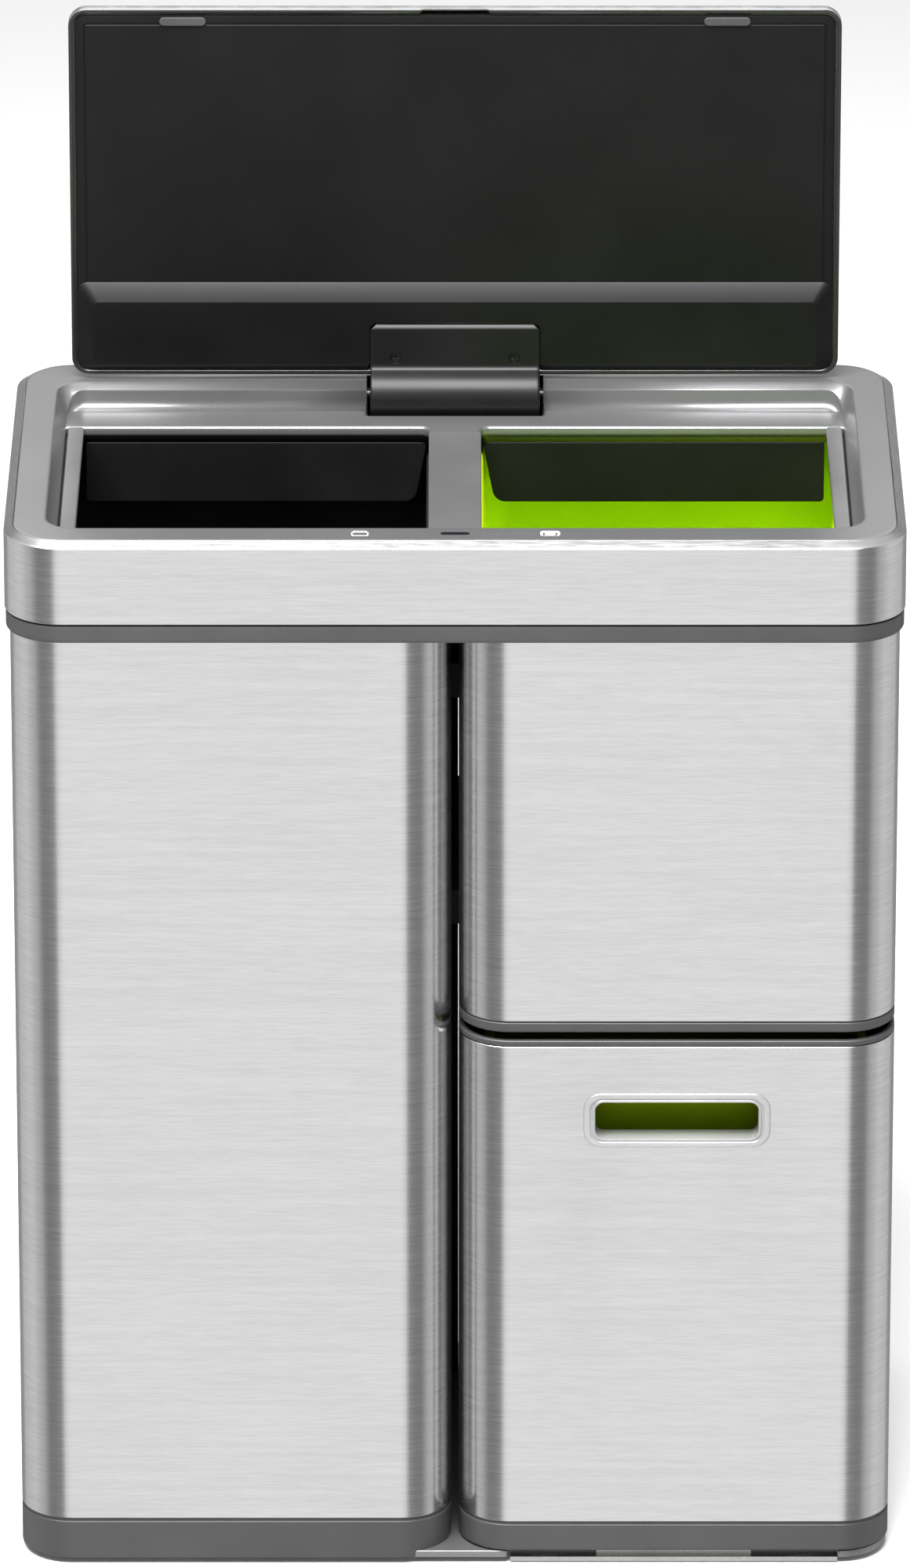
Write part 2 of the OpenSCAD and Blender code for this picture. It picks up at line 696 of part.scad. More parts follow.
// A comb of two side strips and a bridge on one front bar, open at the back
module liner_frame() color(satin) translate([0, 0, frame_z0]) linear_extrude(frame_t) difference() {
    translate([0, recess_cy]) rounded(recess_w - 2 * frame_inset, recess_d - 2 * frame_inset,
        recess_r - frame_inset);
    translate([-body_w, frame_y1]) square([2 * body_w, body_d]);
    translate([-bridge_w / 2 - 1, ledge_y0 - neck_d - gap]) square([bridge_w + 2, body_d]);
    for (side = [-1, 1]) translate([side * (opening_w + bridge_w) / 4, opening_y0 + body_d / 2])
        rounded((opening_w - bridge_w) / 2, body_d, 6);
}

// ---- lid -----------------------------------------------------------------------------------------

lid_hem = 3.8;      // width of the steel hem round the liner
lid_sheet = 1;      // thickness of the lid's sheet
liner_w = lid_w - 2 * lid_hem - 2 * fit;
arm_y1 = lid_y1;
arm_y0 = arm_y1 - arm_len;
arm_z1 = lid_z0;
arm_z0 = arm_z1 - arm_t;
panel_t = 5;
panel_y = lid_y1 - lid_hem - fit - panel_len / 2;
bevel_front = 12;   // widths of the raised panel's bevels
bevel_rear = 4;
bevel_side = 9.8;
notch_w = 42;

module lid_skin() color(steel) open_pose() translate([0, recess_cy, 0]) difference() {
    translate([0, 0, lid_z0]) linear_extrude(lid_t) rounded(lid_w, lid_d, lid_r);
    translate([0, 0, lid_z0 + lid_sheet]) linear_extrude(lid_t - 2 * lid_sheet)
        rounded(lid_w - 2 * lid_sheet, lid_d - 2 * lid_sheet, lid_r - lid_sheet);
    translate([0, 0, lid_z0 - over]) linear_extrude(3)
        rounded(lid_w - 2 * lid_hem, lid_d - 2 * lid_hem, lid_r - lid_hem);
    block([-notch_w / 2, -lid_d / 2 - over, lid_z0 - over],
        [notch_w / 2, -lid_d / 2 + lid_hem + over, lid_z0 + 4]);
}

module lid_liner() color(black) open_pose() translate([0, recess_cy, lid_z0 + fit]) linear_extrude(3)
    rounded(liner_w, lid_d - 2 * lid_hem - 2 * fit, lid_r - lid_hem - fit);

module liner_panel() color(black) open_pose() difference() {
    hull() {
        translate([0, panel_y, lid_z0]) linear_extrude(fit)
            rounded(liner_w, panel_len, lid_r - lid_hem, $fn = 32);
        translate([0, panel_y + (bevel_front - bevel_rear) / 2, lid_z0 - panel_t]) linear_extrude(fit)
            rounded(liner_w - 2 * bevel_side, panel_len - bevel_front - bevel_rear, 5, $fn = 32);
    }
    block([-arm_w / 2 - gap, arm_y0 - gap, lid_z0 - 2 * arm_t],
        [arm_w / 2 + gap, arm_y1 + over, lid_z0 + fit / 2]);
}

screw_x = arm_w / 2 - 17;
screw_y = arm_y1 - arm_len * 0.37;
screw_sunk = 0.9;    // how deep the screw heads lie in the arm
arm_rear = 5;        // how far the arm's rear reaches over the hinge
screw_head_r = 3.7;

module hinge_arm() color(black) open_pose() difference() {
    along_x(-arm_w / 2, arm_w / 2) difference() {
        union() {
            translate([arm_y0, arm_z0]) square([arm_y1 - arm_y0, arm_t]);
            translate([arm_y0, arm_z0]) square([hinge_y - arm_y0, arm_t - 0.5]);
            translate([hinge_y, hinge_z]) circle(barrel_r);
            translate([hinge_y - barrel_r - 2.8, arm_z0 - arm_fillet + 0.5]) square([8, arm_fillet]);
        }
        translate([hinge_y - sqrt(pow(barrel_r + arm_fillet, 2) - pow(hinge_z - arm_z0 + arm_fillet, 2)),
            arm_z0 - arm_fillet]) circle(arm_fillet);
        translate([arm_y0 - 1, arm_z1]) square([arm_y1 - arm_y0 + 1.3, barrel_r * 2]);
        translate([arm_y1, hinge_z + arm_rear]) square([2 * barrel_r + 30, barrel_r * 2]);
        translate([hinge_y + barrel_r * 0.85, hinge_z - barrel_r - 1]) square([barrel_r, 2 * barrel_r + 2]);
    }
    along_x_bore(shaft_r + 0.02);
    for (x = [-1, 1]) translate([x * screw_x, screw_y, arm_z0 - over])
        cylinder(r = screw_head_r + run_clear, h = 4);
}

// Bore along the hinge axis, in the closed place
module along_x_bore(r) translate([-body_w / 2, hinge_y, hinge_z]) rotate([0, 90, 0])
    cylinder(r = r, h = body_w);

module arm_screws() color(steel) open_pose() for (x = [-1, 1])
    translate([x * screw_x, screw_y, arm_z0 + screw_sunk]) difference() {
        cylinder(r = screw_head_r, h = 3 - screw_sunk);
        for (turn = [0, 90]) rotate(turn) translate([0, 0, 0.5]) cube([4.6, 1.1, 1.4], center = true);
    }

module hinge_shaft() color(steel) translate([-block_x - block_l - 1, hinge_y, hinge_z])
    rotate([0, 90, 0]) cylinder(r = shaft_r, h = 2 * (block_x + block_l + 1));

module lid_gear() color([0.9, 0.88, 0.8]) translate([gear_x, hinge_y, hinge_z]) rotate([90, 0, 90])
    rotate(drive_angle) linear_extrude(gear_w) difference() {
        polygon(gear_points(lid_teeth));
        circle(shaft_r + 0.02);
    }

bumper_t = 1.6;

module lid_bumpers() color(dark) open_pose() for (x = [-1, 1])
    translate([x * lid_w * 0.352, lid_y0 + lid_hem + 4.5, lid_z0 - bumper_t])
        linear_extrude(bumper_t + fit) rounded(31, 6, 2.9);

// ---- drive ---------------------------------------------------------------------------------------

module drive_gear() color([0.9, 0.88, 0.8]) translate([gear_x, drive_y, drive_z]) rotate([90, 0, 90])
    rotate(drive_angle + 180 + 180 / drive_teeth) linear_extrude(gear_w) difference() {
        polygon(gear_points(drive_teeth));
        circle(drive_shaft_r + 0.02);
    }

module drive_shaft() color(steel) translate([gear_x - 1, drive_y, drive_z]) rotate([0, 90, 0])
    cylinder(r = drive_shaft_r, h = gearbox_x - gear_x + 12);

// ---- drawer --------------------------------------------------------------------------------------

module drawer_tube(in, t, z0, z1) translate([col_x, 0, z0]) linear_extrude(z1 - z0) difference() {
    rounded_box(col_w - 2 * in, drawer_y0 + in, drawer_y1 - in, col_r - in, drawer_rear_r - min(in, 5));
    rounded_box(col_w - 2 * (in + t), drawer_y0 + in + t, drawer_y1 - in - t, col_r - in - t,
        max(1, drawer_rear_r - in - t));
}

module drawer_shell() color(steel) difference() {
    drawer_tube(0, sheet, drawer_shell_z0, drawer_shell_z1);
    along_y(drawer_y0 - 1, drawer_y0 + 5) translate([col_x, window_z])
        rounded(window_w + 2 * (sleeve_t + fit), window_h + 2 * (sleeve_t + fit),
            window_r + sleeve_t + fit);
}

module drawer_top_trim() color(dark) {
    drawer_tube(0, ring_t, drawer_top - drawer_trim_h, drawer_top);
    drawer_tube(joint_in, ring_t - joint_in, drawer_shell_z1, drawer_top - drawer_trim_h + over);
    drawer_tube(sheet + fit, ring_t - sheet - fit, drawer_shell_z1 - tongue_h, drawer_shell_z1 + over);
}

module drawer_base_ring() color(dark) difference() {
    union() {
        drawer_tube(0, ring_t, drawer_ring_z0, drawer_ring_z1);
        drawer_tube(joint_in, ring_t - joint_in, drawer_ring_z1 - over, drawer_shell_z0);
        drawer_tube(sheet + fit, ring_t - sheet - fit, drawer_shell_z0 - over, drawer_shell_z0 + tongue_h);
    }
    block([col_x - col_w / 2 + ring_t + drawer_rear_r, 0, drawer_ring_z0 - over],
        [col_x + col_w / 2 - ring_t - drawer_rear_r, drawer_y1 + over, floor_z0]);
}

module drawer_floor() color(black) translate([col_x, 0, floor_z0]) linear_extrude(floor_t)
    rounded_box(col_w - 2 * ring_t, drawer_y0 + ring_t, drawer_y1 - ring_t, col_r - ring_t, 2);

module handle_bezel() color(dark) difference() {
    union() {
        along_y(drawer_y0 - bezel_front, drawer_y0) translate([col_x, window_z])
            rounded(window_w + 2 * bezel_rim + 3.2, window_h + 2 * bezel_rim, window_r + bezel_rim - 0.4);
        along_y(drawer_y0 - 0.5, drawer_y0 + bezel_depth) translate([col_x, window_z])
            rounded(window_w + 2 * sleeve_t, window_h + 2 * sleeve_t, window_r + sleeve_t);
    }
    along_y(drawer_y0 - 5, drawer_y0 + bezel_depth + 5) translate([col_x, window_z])
        rounded(window_w, window_h, window_r);
}

module drawer_runners() color(steel) for (x = rail_x) along_y(rail_y0, rail_y1 - rail_short) difference() {
    translate([x - rail_w / 2, runner_z0]) square([rail_w, rail_h]);
    translate([x - rail_w / 2 + rail_wall, runner_z0 - over])
        square([rail_w - 2 * rail_wall, rail_h - rail_wall + over]);
}

tie_z0 = plate_top + 3;   // underside of the carriage's ties
tie_t = 2;
tie_h = 5;
plate_half = 52;          // half width of the carriage's front plate
foot_z0 = 1.2;            // clearance of the carriage's foot over the floor
foot_z1 = 4.4;

// Two sliding bars, the ties between them, and a foot under the drawer's front
module slide_carriage() color(steel) {
    bar = rail_w - 2 * rail_wall - 2 * gap;
    beside = rail_w / 2 + 2;
    for (x = rail_x) {
        block([x - bar / 2, rail_y0, plate_top + rail_wall + gap],
            [x + bar / 2, rail_y1 - rail_short, floor_z0 - rail_wall - gap]);
        block([x - beside, rail_y0 - tie_t, tie_z0], [x + beside, rail_y0, tie_z0 + tie_h]);
    }
    block([rail_x[0] - beside, rail_y0 - 2 * tie_t, tie_z0],
        [rail_x[1] + beside, rail_y0 - tie_t, tie_z0 + tie_h]);
    block([rail_x[0] + beside, rail_y0 - tie_t - over, tie_z0],
        [rail_x[1] - beside, rail_y0 + 12, tie_z0 + tie_t]);
    block([col_x - plate_half, drawer_y0 + 9, tie_z0],
        [col_x + plate_half, rail_y0 - tie_t, tie_z0 + tie_t]);
    block([col_x - plate_half, drawer_y0 + 9, foot_z0],
        [col_x + plate_half, drawer_y0 + 11, tie_z0 + tie_t]);
    block([notch_x0, drawer_y0 + 2, foot_z0], [notch_x1, drawer_y0 + 10, foot_z1]);
}

// ---- buckets -------------------------------------------------------------------------------------

module left_bucket() color(black) translate([-bucket_x, bucket_y, 0])
    bucket(bucket_w, bucket_y1 - bucket_y0, bucket_r, plate_top + gap, bucket_top);

module upper_bucket() color(green) translate([bucket_x, bucket_y, 0])
    bucket(bucket_w, bucket_y1 - bucket_y0, bucket_r, split_z + floor_t + gap, bucket_top);

module drawer_bucket() color(green)
    translate([col_x, (drawer_bucket_y0 + drawer_bucket_y1) / 2, 0])
        bucket(col_w - 2 * drawer_bucket_in, drawer_bucket_y1 - drawer_bucket_y0, bucket_r,
            floor_z0 + floor_t + gap, drawer_top - bucket_drop);

base_plate();
feet();
base_screws();
left_base_ring();
left_column_shell();
upper_base_ring();
upper_floor_pan();
upper_column_shell();
rear_panel();
column_joiners();
joiner_bolts();
top_ring();
slide_rails();
collar_band();
collar_frame();
top_rim();
housing_left();
housing_right();
mechanism_tray();
battery_cells();
battery_cover();
control_board();
gearmotor();
motor_can();
bearing_blocks();
hinge_bushes();
sensor_window();
touch_icons();
indicator_lines();
switch_bezel();
power_switch();
liner_frame();
lid_skin();
lid_liner();
liner_panel();
hinge_arm();
arm_screws();
hinge_shaft();
lid_gear();
lid_bumpers();
drive_gear();
drive_shaft();
drawer_shell();
drawer_top_trim();
drawer_base_ring();
drawer_floor();
handle_bezel();
drawer_runners();
slide_carriage();
left_bucket();
upper_bucket();
drawer_bucket();
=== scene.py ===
"""Three-compartment sensor recycling bin: every visible piece and finish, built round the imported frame."""

import math

import bmesh
import bpy
import numpy as np
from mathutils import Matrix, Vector


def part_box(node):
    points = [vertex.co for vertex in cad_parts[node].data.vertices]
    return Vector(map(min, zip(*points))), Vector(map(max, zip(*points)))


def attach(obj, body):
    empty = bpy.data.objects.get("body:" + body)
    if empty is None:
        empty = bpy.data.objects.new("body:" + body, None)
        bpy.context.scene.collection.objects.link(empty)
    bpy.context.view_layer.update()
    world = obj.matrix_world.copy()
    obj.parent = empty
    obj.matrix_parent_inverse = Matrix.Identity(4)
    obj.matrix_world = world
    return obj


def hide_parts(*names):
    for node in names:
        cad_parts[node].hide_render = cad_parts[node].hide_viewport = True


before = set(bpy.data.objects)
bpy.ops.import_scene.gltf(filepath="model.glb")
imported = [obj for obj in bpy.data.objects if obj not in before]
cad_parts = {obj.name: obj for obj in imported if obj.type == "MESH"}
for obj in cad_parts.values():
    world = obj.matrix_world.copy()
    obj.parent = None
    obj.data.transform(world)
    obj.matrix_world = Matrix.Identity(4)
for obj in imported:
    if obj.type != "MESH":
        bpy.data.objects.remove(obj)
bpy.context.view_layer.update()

MM = 0.001
KEEP = 1.5          # how far a flat face holds its own normal beside a rounded edge, mm
EDGE = 0.4          # rounding of cut sheet edges, mm
SHEET = 1.2         # steel sheet, mm
MERGE = 0.004       # points closer than this become one, mm
SMOOTH, SHARP = 35, 50      # angles between faces: shaded smooth below, rounded above, degrees


class Place:
    """Box of a CAD node at rest, in millimetres, with its middle and size."""

    def __init__(self, node):
        low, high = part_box(node)
        self.x0, self.y0, self.z0 = (v / MM for v in low)
        self.x1, self.y1, self.z1 = (v / MM for v in high)
        self.cx, self.cy, self.cz = ((a + b) / 2 for a, b in
                                     ((self.x0, self.x1), (self.y0, self.y1), (self.z0, self.z1)))


# ---- outlines and surfaces ------------------------------------------------------------------------

def unit(v):
    """Each row divided by its length."""
    return v / np.maximum(np.linalg.norm(v, axis=-1, keepdims=True), 1e-12)


def arc_path(corners, closed=True, steps=10, keep=KEEP):
    """Points along straight runs joined by arcs. A corner is (x, y, radius): its arc of radius r touches
    both sides at r / tan(half the corner's angle) from the corner, and turns evenly between the two
    touching points. One more point stands `keep` before and after each arc. Radius 0 is one plain point."""
    points = np.array([c[:2] for c in corners], float)
    count = len(points)
    radii = [c[2] if len(c) > 2 and (closed or 0 < i < count - 1) else 0 for i, c in enumerate(corners)]
    to_next = unit(np.roll(points, -1, 0) - points)
    half = [math.acos(max(-1.0, min(1.0, float(-to_next[i - 1] @ to_next[i])))) / 2 for i in range(count)]
    reach = [r / math.tan(h) if r else 0.0 for r, h in zip(radii, half)]
    spare = [np.linalg.norm(points[(i + 1) % count] - points[i]) - reach[i] - reach[(i + 1) % count]
             for i in range(count)]
    hold = [min(keep, max(s, 0.0) / 3) for s in spare]
    found = []
    for i, (p, r) in enumerate(zip(points, radii)):
        if r == 0:
            found.append(p[None])
            continue
        a, b = -to_next[i - 1], to_next[i]
        centre = p + unit(a + b) * r / math.sin(half[i])
        u, v = unit(p + a * reach[i] - centre), unit(p + b * reach[i] - centre)
        turn = math.pi - 2 * half[i]
        t = np.linspace(0, 1, steps + 1)[:, None]
        arc = centre + r * (np.sin((1 - t) * turn) * u + np.sin(t * turn) * v) / math.sin(turn)
        found += [(p + a * (reach[i] + hold[i - 1]))[None], arc, (p + b * (reach[i] + hold[i]))[None]]
    return np.concatenate(found)


def rect(x0, x1, y0, y1, front_r, rear_r=None, front=(), rear=()):
    """Corners of a rounded rectangle, counter-clockwise from the front left, with plain points at the
    given x on its front and rear runs."""
    rear_r = front_r if rear_r is None else rear_r
    return ([(x0, y0, front_r)] + [(x, y0, 0) for x in sorted(front)] + [(x1, y0, front_r), (x1, y1, rear_r)]
            + [(x, y1, 0) for x in sorted(rear, reverse=True)] + [(x0, y1, rear_r)])


def inset(outline, amount):
    """A closed outline moved inwards: each point goes along the sum of its two sides' inward normals,
    stretched so that both sides move by the amount."""
    side = unit(np.roll(outline, -1, 0) - outline)
    fore = np.column_stack([-side[:, 1], side[:, 0]])
    back = np.roll(fore, 1, 0)
    mitre = (fore + back) / np.maximum(1 + (fore * back).sum(1, keepdims=True), 0.2)
    return outline + mitre * np.reshape(amount, (-1, 1))


def at_height(outline, z):
    """A flat outline lifted to height z, one number or one per point."""
    return np.column_stack([outline, np.broadcast_to(z, len(outline))])


class Shape:
    """Vertices and faces gathered from surfaces, in millimetres."""

    def __init__(self):
        self.points, self.faces, self.count = [], [], 0

    def grid(self, rings, wrap=False, closed=True, caps=(False, False), drop=None):
        """Surface through rings of equally many points: S(k, i) is point i of ring k, with quads between
        neighbours. closed joins each ring's ends, wrap joins the last ring to the first, caps fill the
        first and last ring, and drop says which quads to leave out, from their middles."""
        grid = np.stack(rings)
        k, n = grid.shape[:2]
        index = np.arange(k * n).reshape(k, n) + self.count
        if closed:
            index = np.hstack([index, index[:, :1]])
        if wrap:
            index = np.vstack([index, index[:1]])
        quads = np.stack([index[:-1, :-1], index[:-1, 1:], index[1:, 1:], index[1:, :-1]], -1).reshape(-1, 4)
        flat = grid.reshape(-1, 3)
        if drop is not None:
            middle = flat[quads - self.count].mean(1)
            quads = quads[~drop(middle)]
        self.points.append(flat)
        self.faces += quads.tolist()
        if caps[0]:
            self.faces.append(index[0, :n][::-1].tolist())
        if caps[1]:
            self.faces.append(index[-1, :n].tolist())
        self.count += k * n
        return self

    def carried(self, outline, profile, **how):
        """A profile of (inset, height) pairs carried round an outline: ring k is the outline moved
        inwards by inset k at height k."""
        return self.grid([at_height(inset(outline, a), z) for a, z in profile], **how)

    def plate(self, outline, z0, z1, edge):
        """A flat piece from z0 to z1 whose two edges are quarter rounds of radius `edge`."""
        t = np.linspace(0, math.pi / 2, 5)
        lower = [(edge * (1 - math.sin(a)), z0 + edge * (1 - math.cos(a))) for a in t]
        upper = [(a, z0 + z1 - z) for a, z in lower[::-1]]
        return self.carried(outline, [(2 * edge, z0)] + lower + upper + [(2 * edge, z1)], caps=(True, True))

    def ring(self, outline, profile, edge=EDGE):
        """A closed wall: a loop of (inset, height) corners, rounded to `edge`, carried round an outline."""
        corners = [(a, z, edge if len(rest) == 0 else rest[0]) for a, z, *rest in profile]
        return self.carried(outline, arc_path(corners, steps=3, keep=1), wrap=True)

    def wall(self, outline, thick, z0, z1, edge=EDGE):
        """A closed upright wall on an outline, with rounded edges."""
        return self.ring(outline, [(0, z0), (0, z1), (thick, z1), (thick, z0)], edge)

    def turned(self, profile, centre, steps=28):
        """A lathe shape: (radius, height) pairs turned about an upright line through centre."""
        a = np.linspace(0, 2 * math.pi, steps, endpoint=False)
        circle = np.column_stack([np.cos(a), np.sin(a)])
        rings = [at_height(circle * r + centre[:2], z + centre[2]) for r, z in profile]
        return self.grid(rings, caps=(True, True))

    def join(self, other, change=lambda p: p, flip=False):
        """Adds another shape's faces after moving its points; flip turns the faces over for a mirror."""
        self.points.append(change(np.concatenate(other.points)))
        self.faces += [[v + self.count for v in (f[::-1] if flip else f)] for f in other.faces]
        self.count += other.count
        return self


def mirror_x(p):
    """Points on the other side of the middle plane."""
    return p * [-1, 1, 1]


def facing_front(p):
    """(x, height, forwards) to the row frame: a profile drawn in X and Z, thick along -Y."""
    return np.column_stack([p[:, 0], -p[:, 2], p[:, 1]])


def across(p):
    """(y, z, x) to the row frame: a profile drawn in Y and Z, carried along X."""
    return p[:, [2, 0, 1]]


shaft = Place("hinge_shaft")


def opened(p):
    """A quarter turn about the hinge line, from the lid's closed place to where the frame holds it."""
    return np.column_stack([p[:, 0], shaft.cy + p[:, 2] - shaft.cz, shaft.cz - p[:, 1] + shaft.cy])


def closed_place(place):
    """Box of an open lid node turned back to its closed place: (x0, x1, y0, y1, z0, z1)."""
    return (place.x0, place.x1, shaft.cy + shaft.cz - place.z1, shaft.cy + shaft.cz - place.z0,
            shaft.cz + place.y0 - shaft.cy, shaft.cz + place.y1 - shaft.cy)


def piece(name, body, shape, finish, nodes=(), change=lambda p: p, sheet=0.0, edge=0.0):
    """A mesh object from a shape: metres, doubles merged, smooth below SMOOTH degrees, riding on its body
    and standing for its CAD nodes. sheet gives an open surface its thickness, inwards, and edge rounds
    what is sharper than SHARP degrees."""
    mesh = bpy.data.meshes.new(name)
    points = change(np.concatenate(shape.points)) * MM
    mesh.from_pydata(points.tolist(), [], shape.faces)
    work = bmesh.new()
    work.from_mesh(mesh)
    bmesh.ops.remove_doubles(work, verts=work.verts, dist=MERGE * MM)
    work.to_mesh(mesh)
    work.free()
    mesh.validate()
    mesh.shade_smooth()
    mesh.set_sharp_from_angle(angle=math.radians(SMOOTH))
    made = bpy.data.objects.new(name, mesh)
    bpy.context.scene.collection.objects.link(made)
    mesh.materials.append(finish)
    if sheet:
        thick = made.modifiers.new("thickness", "SOLIDIFY")
        thick.thickness, thick.offset = sheet * MM, -1
    if edge:
        rounding = made.modifiers.new("edges", "BEVEL")
        rounding.width, rounding.segments = edge * MM, 2
        rounding.limit_method, rounding.angle_limit = "ANGLE", math.radians(SHARP)
    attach(made, body)
    if nodes:
        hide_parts(*nodes)
    return made


# ---- finishes -------------------------------------------------------------------------------------

class Wire:
    """A shader value that Python arithmetic works on: every operation adds one Math node."""

    def __init__(self, board, socket):
        self.board, self.socket = board, socket

    def math(self, operation, *others):
        return self.board.maths(operation, self, *others)

    def __add__(self, other): return self.math("ADD", other)
    def __mul__(self, other): return self.math("MULTIPLY", other)
    def __sub__(self, other): return self.math("SUBTRACT", other)
    def __rsub__(self, other): return self.board.maths("SUBTRACT", other, self)
    def __truediv__(self, other): return self.math("DIVIDE", other)
    __radd__, __rmul__ = __add__, __mul__

    def band(self, low, high):
        """0 below low, 1 above high, smooth between."""
        return self.board.node("ShaderNodeMapRange", {"interpolation_type": "SMOOTHSTEP"},
                               {"Value": self, "From Min": low, "From Max": high})


class Board:
    """A node tree and the shader that its wires end in."""

    def __init__(self, tree, shader):
        self.tree, self.shader = tree, tree.nodes[shader]

    def node(self, kind, settings=None, inputs=None, output=0):
        """Any node: its settings first, then the values or links of its sockets."""
        made = self.tree.nodes.new(kind)
        for key, value in (settings or {}).items():
            setattr(made, key, value)
        for key, value in (inputs or {}).items():
            if isinstance(value, Wire):
                self.tree.links.new(value.socket, made.inputs[key])
            else:
                made.inputs[key].default_value = value
        return Wire(self, made.outputs[output])

    def maths(self, operation, *values):
        """One Math node on wires and numbers."""
        return self.node("ShaderNodeMath", {"operation": operation}, dict(enumerate(values)))

    def axis(self, name, coordinates="Object"):
        """One coordinate, in metres."""
        place = self.node("ShaderNodeTexCoord", output=coordinates)
        return self.node("ShaderNodeSeparateXYZ", {}, {0: place}, name)

    def feed(self, socket, wire):
        self.tree.links.new(wire.socket, self.shader.inputs[socket])


class Finish(Board):
    """A material on Object coordinates: one Principled shader and the nodes that feed it."""

    def __init__(self, name, **constants):
        self.material = bpy.data.materials.new(name)
        self.material.use_nodes = True
        super().__init__(self.material.node_tree, "Principled BSDF")
        for socket, value in constants.items():
            self.shader.inputs[socket.replace("_", " ")].default_value = value

    def where(self, scale=(1, 1, 1)):
        """Object coordinates, stretched by a Mapping node."""
        place = self.node("ShaderNodeTexCoord", output="Object")
        return self.node("ShaderNodeMapping", {}, {"Vector": place, "Scale": scale})

    def noise(self, scale, detail=2.0, rough=0.5, stretch=(1, 1, 1)):
        """Cloudy 0 to 1 value with about `scale` features a metre."""
        return self.node("ShaderNodeTexNoise", {}, {"Vector": self.where(stretch), "Scale": scale,
                                                    "Detail": detail, "Roughness": rough})

    def mix(self, share, low, high):
        """Colour between two, by a share from 0 to 1."""
        return self.node("ShaderNodeMix", {"data_type": "RGBA"}, {0: share, 6: (*low, 1), 7: (*high, 1)}, 2)

    def bump(self, height, strength, distance):
        self.feed("Normal", self.node("ShaderNodeBump", {}, {"Height": height, "Strength": strength,
                                                             "Distance": distance * MM}))


def brushed(name, low, high, rough, shade_below=None):
    """Steel brushed along the horizontal: short fine streaks lie across Z, broader ones vary the shine.
    The shade pair (from, to) turns the colour to low, not metal, as shade put into the colour where Object Y is
    below the first, and leaves the plain steel beyond the second."""
    f = Finish(name, Metallic=1.0)
    fine = f.noise(1.0, 3.0, 0.6, (55, 55, 1300))
    broad = f.noise(1.0, 2.0, 0.5, (9, 9, 260))
    cloud = f.noise(5.0, 2.0)
    streaks = (fine * 0.62 + broad * 0.23 + cloud * 0.15).band(0.33, 0.68)
    if shade_below:
        unshaded_steel = f.axis("Y").band(*shade_below)
        f.feed("Metallic", unshaded_steel)
        f.feed("Base Color", f.mix(unshaded_steel * (streaks * 0.15 + 0.85), low, high))
    else:
        f.feed("Base Color", f.mix(streaks, low, high))
    f.feed("Roughness", rough + (fine - 0.5) * 0.16 + (cloud - 0.5) * 0.05)
    f.bump(fine * 0.8 + broad * 0.4, 0.10, 0.06)
    return f.material


def moulded(name, low, high, rough, grain=2200.0, depth=0.05, shaded=None, **constants):
    """Moulded plastic: a fine even grain, a faint cloudiness in colour and a shine that wanders a little.
    The shade pair (from, to) keeps high above the second and gives low, not metal, as shade put into the colour
    below the first."""
    f = Finish(name, **constants)
    fine, cloud = f.noise(grain, 2.0, 0.55), f.noise(14.0, 3.0)
    mottle = fine * 0.5 + cloud * 0.5
    if shaded:
        unshaded_part = f.axis("Z").band(*shaded)
        f.feed("Metallic", unshaded_part * constants["Metallic"])
        f.feed("Base Color", f.mix(unshaded_part * (mottle * 0.2 + 0.8), low, high))
    else:
        f.feed("Base Color", f.mix(mottle.band(0.3, 0.7), low, high))
    f.feed("Roughness", rough + (cloud - 0.5) * 0.10 + (fine - 0.5) * 0.08)
    f.bump(fine, 0.22, depth)
    return f.material


STEEL = brushed("brushed_steel", (0.65, 0.65, 0.655), (0.77, 0.77, 0.775), 0.21)
# Shade put into the colour: the open lid's hem and sides, in front of Y 139.3 mm, are near-black and not metal,
# for the shade they lie in; the top behind them is plain brushed steel.
LID_STEEL = brushed("lid_steel", (0.012, 0.012, 0.012), (0.74, 0.74, 0.745), 0.21, shade_below=(0.1393, 0.1402))
SATIN = moulded("satin_rim", (0.19, 0.19, 0.193), (0.24, 0.24, 0.243), 0.30, 1500.0, 0.03, Metallic=0.7)
# Shade put into the colour: the lip that runs down into the openings is near-black and not metal below Z 711.5
# mm, for the shade inside the openings; above it the rim has its own satin grey.
RIM = moulded("rim_satin_and_shade", (0.006, 0.006, 0.006), (0.215, 0.215, 0.218), 0.30, 1500.0, 0.03,
              shaded=(0.7115, 0.7145), Metallic=0.7)
BEZEL = moulded("satin_bezel", (0.38, 0.38, 0.385), (0.46, 0.46, 0.465), 0.30, 1800.0, 0.03, Metallic=0.6)
DARK = moulded("dark_rings", (0.034, 0.034, 0.035), (0.046, 0.046, 0.047), 0.40)
BLACK = moulded("black_textured", (0.003, 0.003, 0.003), (0.006, 0.006, 0.006), 0.44, Specular_IOR_Level=0.13)
ARM = moulded("arm_black", (0.004, 0.004, 0.004), (0.007, 0.007, 0.007), 0.36, 2600.0, 0.03,
              Specular_IOR_Level=0.22)
LINER = moulded("liner_black", (0.002, 0.002, 0.002), (0.004, 0.004, 0.004), 0.40, 3000.0, 0.04,
                Specular_IOR_Level=0.2)
GREEN = moulded("lime_green", (0.60, 0.82, 0.002), (0.66, 0.88, 0.004), 0.38, 900.0, 0.015)
